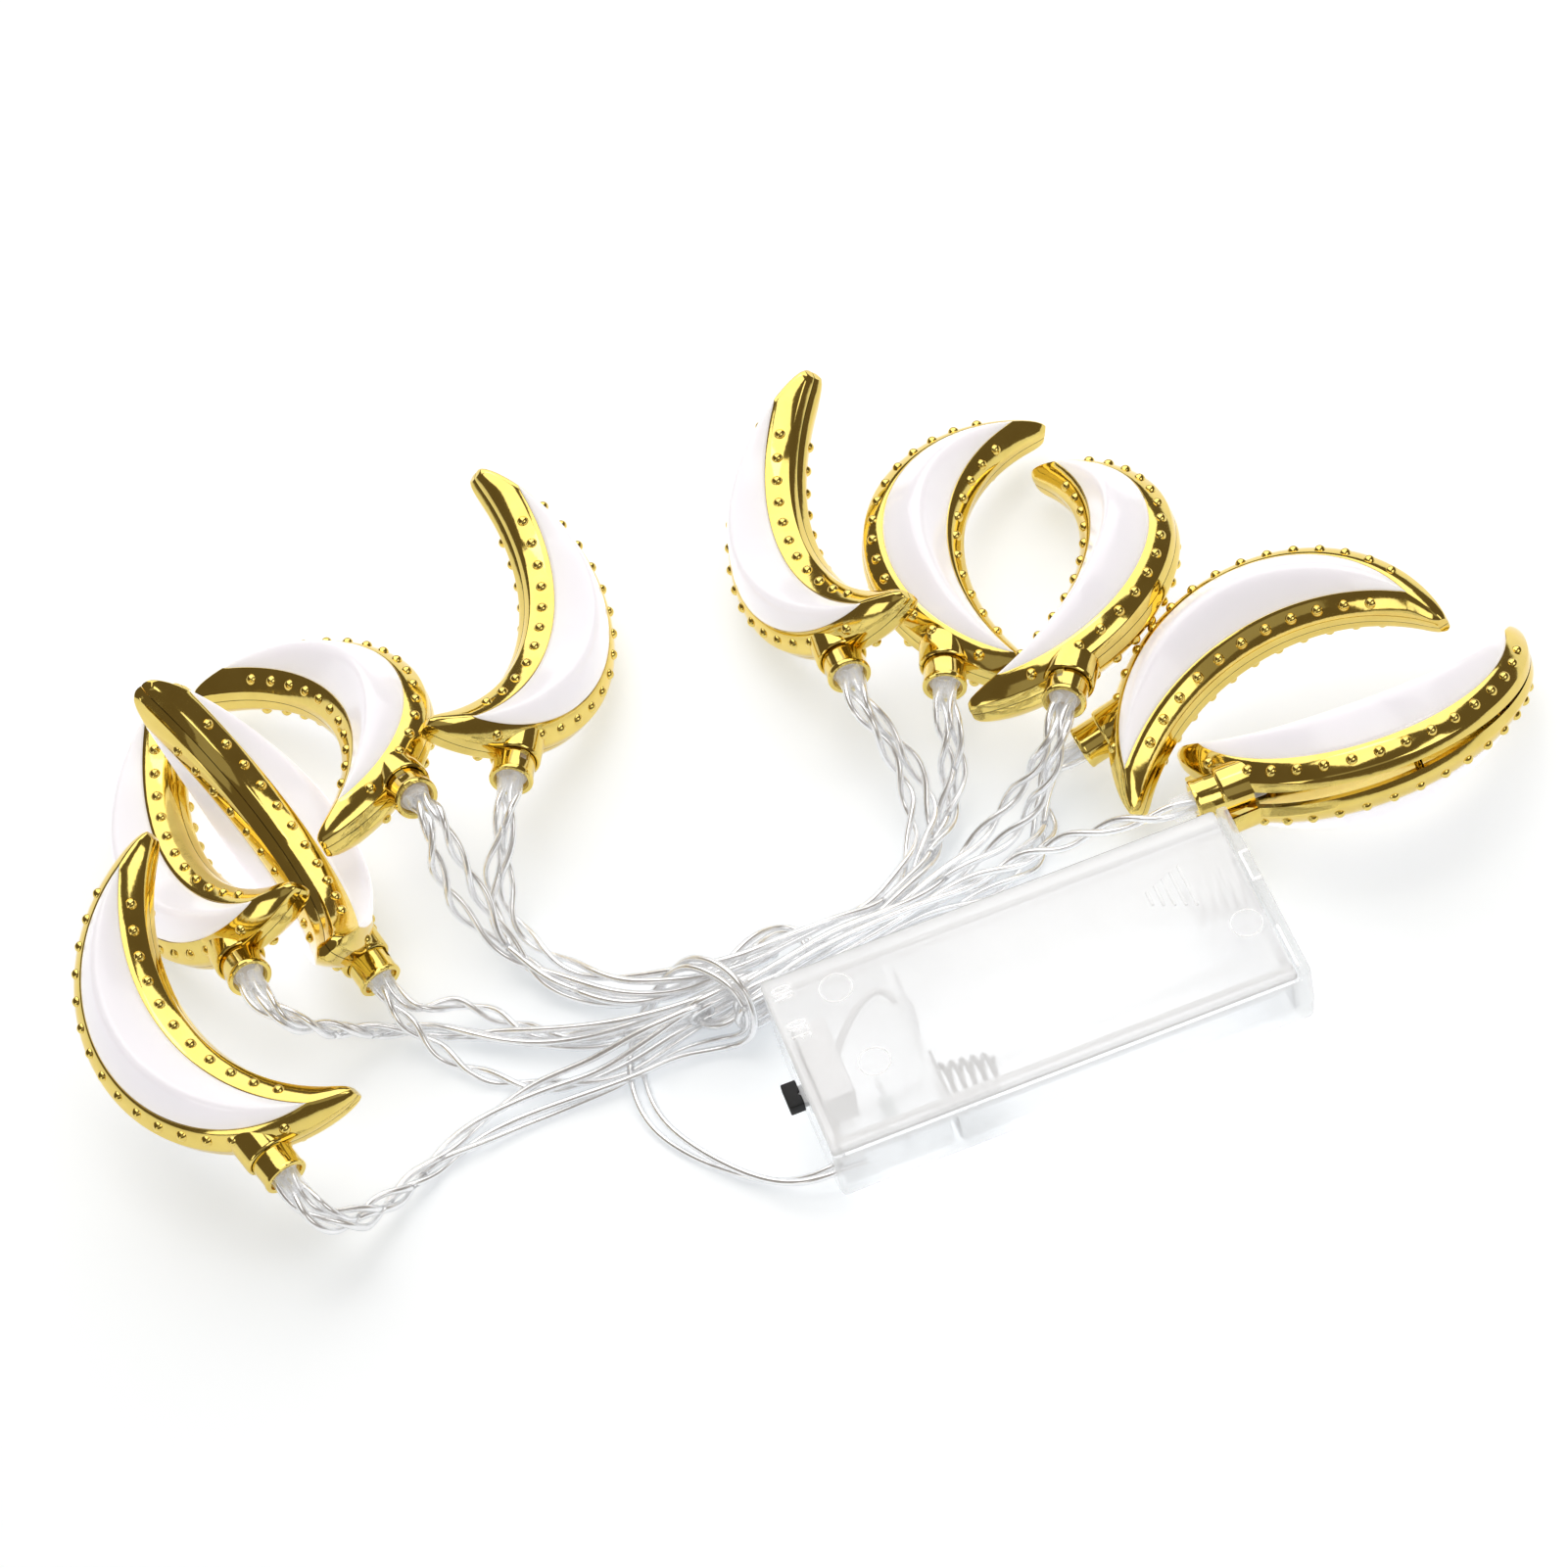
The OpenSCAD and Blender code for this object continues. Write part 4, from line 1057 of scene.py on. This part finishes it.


# The negative plate takes the darkened steel, which is painted shade.
put("plate_negative", plate_mesh("plate_neg", -17.95, -12.5, -2.5, mat=PLATE_PAINTED_SHADE), "base", ["negative_plate"], BOX_M)
put("plate_positive", plate_mesh("plate_pos", -17.95, 2.5, 12.5, (-17.6, 1), 7.5), "base", ["positive_plate"], BOX_M)
put("plate_bridge", plate_mesh("plate_bri", 35.25, -12.5, 12.5, (35.3, -1), -7.5), "base", ["bridge_plate"], BOX_M)


def resistor_mesh():
    b = Builder()
    prof = [(0.02, -6.0), (0.8, -6.0), (1.1, -5.7), (1.15, -5.0), (0.95, -4.4), (0.95, -1.6), (1.15, -1.0), (1.1, -0.3), (0.8, 0.0), (0.02, 0.0)]
    v, f = lathe(prof, 20, centre=(-25.0, 2.6))
    b.add_bm(closed(v, f), 0)
    for y0, y1 in ((-9.0, -5.9), (-0.1, 3.0)):
        v, f = lathe([(0.02, y0), (0.3, y0), (0.3, y1), (0.02, y1)], 10, centre=(-25.0, 2.6))
        b.add_bm(closed(v, f), 1)
    return b.mesh("resistor_shape", [RESIST, STEEL], 35.0)


HOOKUP = [Vector(q) for q in ((-32.6, 2.0, 7.2), (-31.2, 3.4, 8.4), (-28.0, 6.6, 11.0), (-24.0, 9.6, 12.4), (-21.2, 10.6, 12.2), (-19.9, 9.9, 11.6), (-19.0, 8.4, 10.6))]
put("switch_wire", tube_mesh("switch_wire", smooth_line(spline(HOOKUP, 0.5), 4), 0.6, SLEEVE), "base", (), BOX_M)
HOOKUP = [Vector(q) for q in ((-36.4, -10.9, 5.0), (-35.2, -9.6, 6.2), (-34.2, -6.4, 8.2), (-33.4, -3.6, 8.2), (-32.6, -1.6, 7.2))]
put("entry_wire", tube_mesh("entry_wire", smooth_line(spline(HOOKUP, 0.5), 4), 0.6, SLEEVE), "base", (), BOX_M)
put("resistor_part", resistor_mesh(), "base", ["resistor"], BOX_M)

# ------------------------------------------------------------------ stage and light
fl = bpy.data.meshes.new("floor")
fl.from_pydata([(-40, -40, 0), (40, -40, 0), (40, 40, 0), (-40, 40, 0)], [], [(0, 1, 2, 3)])
fm, nt, out = new_mat("floor_white")
pp = principled(nt, out, Roughness=0.5, Emission_Strength=0.435)
pp.inputs["Emission Color"].default_value = (0.87, 0.94, 1.0, 1)
nn = noise(nt, 3.0, 2.0)
cc = ramp(nt, nn.outputs["Fac"], (0.80, 0.80, 0.80), (0.82, 0.82, 0.82))
nt.links.new(cc.outputs["Color"], pp.inputs["Base Color"])
fl.materials.append(fm)
floor = bpy.data.objects.new("floor", fl)
sc.collection.objects.link(floor)
floor.location = (0, 0, -0.0002)


def area(name, loc, target, size, power, size_y=None):
    l = bpy.data.lights.new(name, "AREA")
    l.shape = "RECTANGLE"
    l.size = size
    l.size_y = size_y or size
    l.energy = power
    o = bpy.data.objects.new(name, l)
    sc.collection.objects.link(o)
    o.location = loc
    d = Vector(target) - Vector(loc)
    o.rotation_euler = d.to_track_quat("-Z", "Y").to_euler()
    return o


def softbox(name, az, el, dist, width, height, radiance):
    """A lamp seen from the object at that azimuth (0 = far side, 90 = right) and elevation."""
    a, e = math.radians(az), math.radians(el)
    loc = Vector((math.sin(a) * math.cos(e), math.cos(a) * math.cos(e), math.sin(e))) * dist
    return area(name, loc, (0, 0, 0), width, radiance * math.pi * width * height, height)


softbox("back_box", 14, 46, 1.15, 1.6, 1.25, 1.6)
softbox("top_box", -20, 84, 1.05, 0.65, 0.65, 1.6)
softbox("near_right_box", 140, 43, 0.95, 0.55, 0.45, 1.7)
softbox("near_left_box", -124, 16, 0.95, 0.30, 0.35, 1.5)
softbox("front_fill", 190, 44, 1.25, 1.3, 0.7, 0.20)
w = bpy.data.worlds.new("studio")
sc.world = w
w.use_nodes = True
wt = w.node_tree
bg = wt.nodes["Background"]
bg.inputs["Color"].default_value = (1, 0.78, 0.52, 1)
bg.inputs["Strength"].default_value = 0.135
pale = wt.nodes.new("ShaderNodeBackground")
pale.inputs["Color"].default_value = (0.95, 0.975, 1.0, 1)
pale.inputs["Strength"].default_value = 0.53
path = wt.nodes.new("ShaderNodeLightPath")
mx = wt.nodes.new("ShaderNodeMixShader")
wt.links.new(path.outputs["Is Camera Ray"], mx.inputs["Fac"])
wt.links.new(bg.outputs["Background"], mx.inputs[1])
wt.links.new(pale.outputs["Background"], mx.inputs[2])
wt.links.new(mx.outputs["Shader"], wt.nodes["World Output"].inputs["Surface"])
sc.view_settings.view_transform = "Standard"
sc.view_settings.look = "None"
sc.view_settings.exposure = 0.0
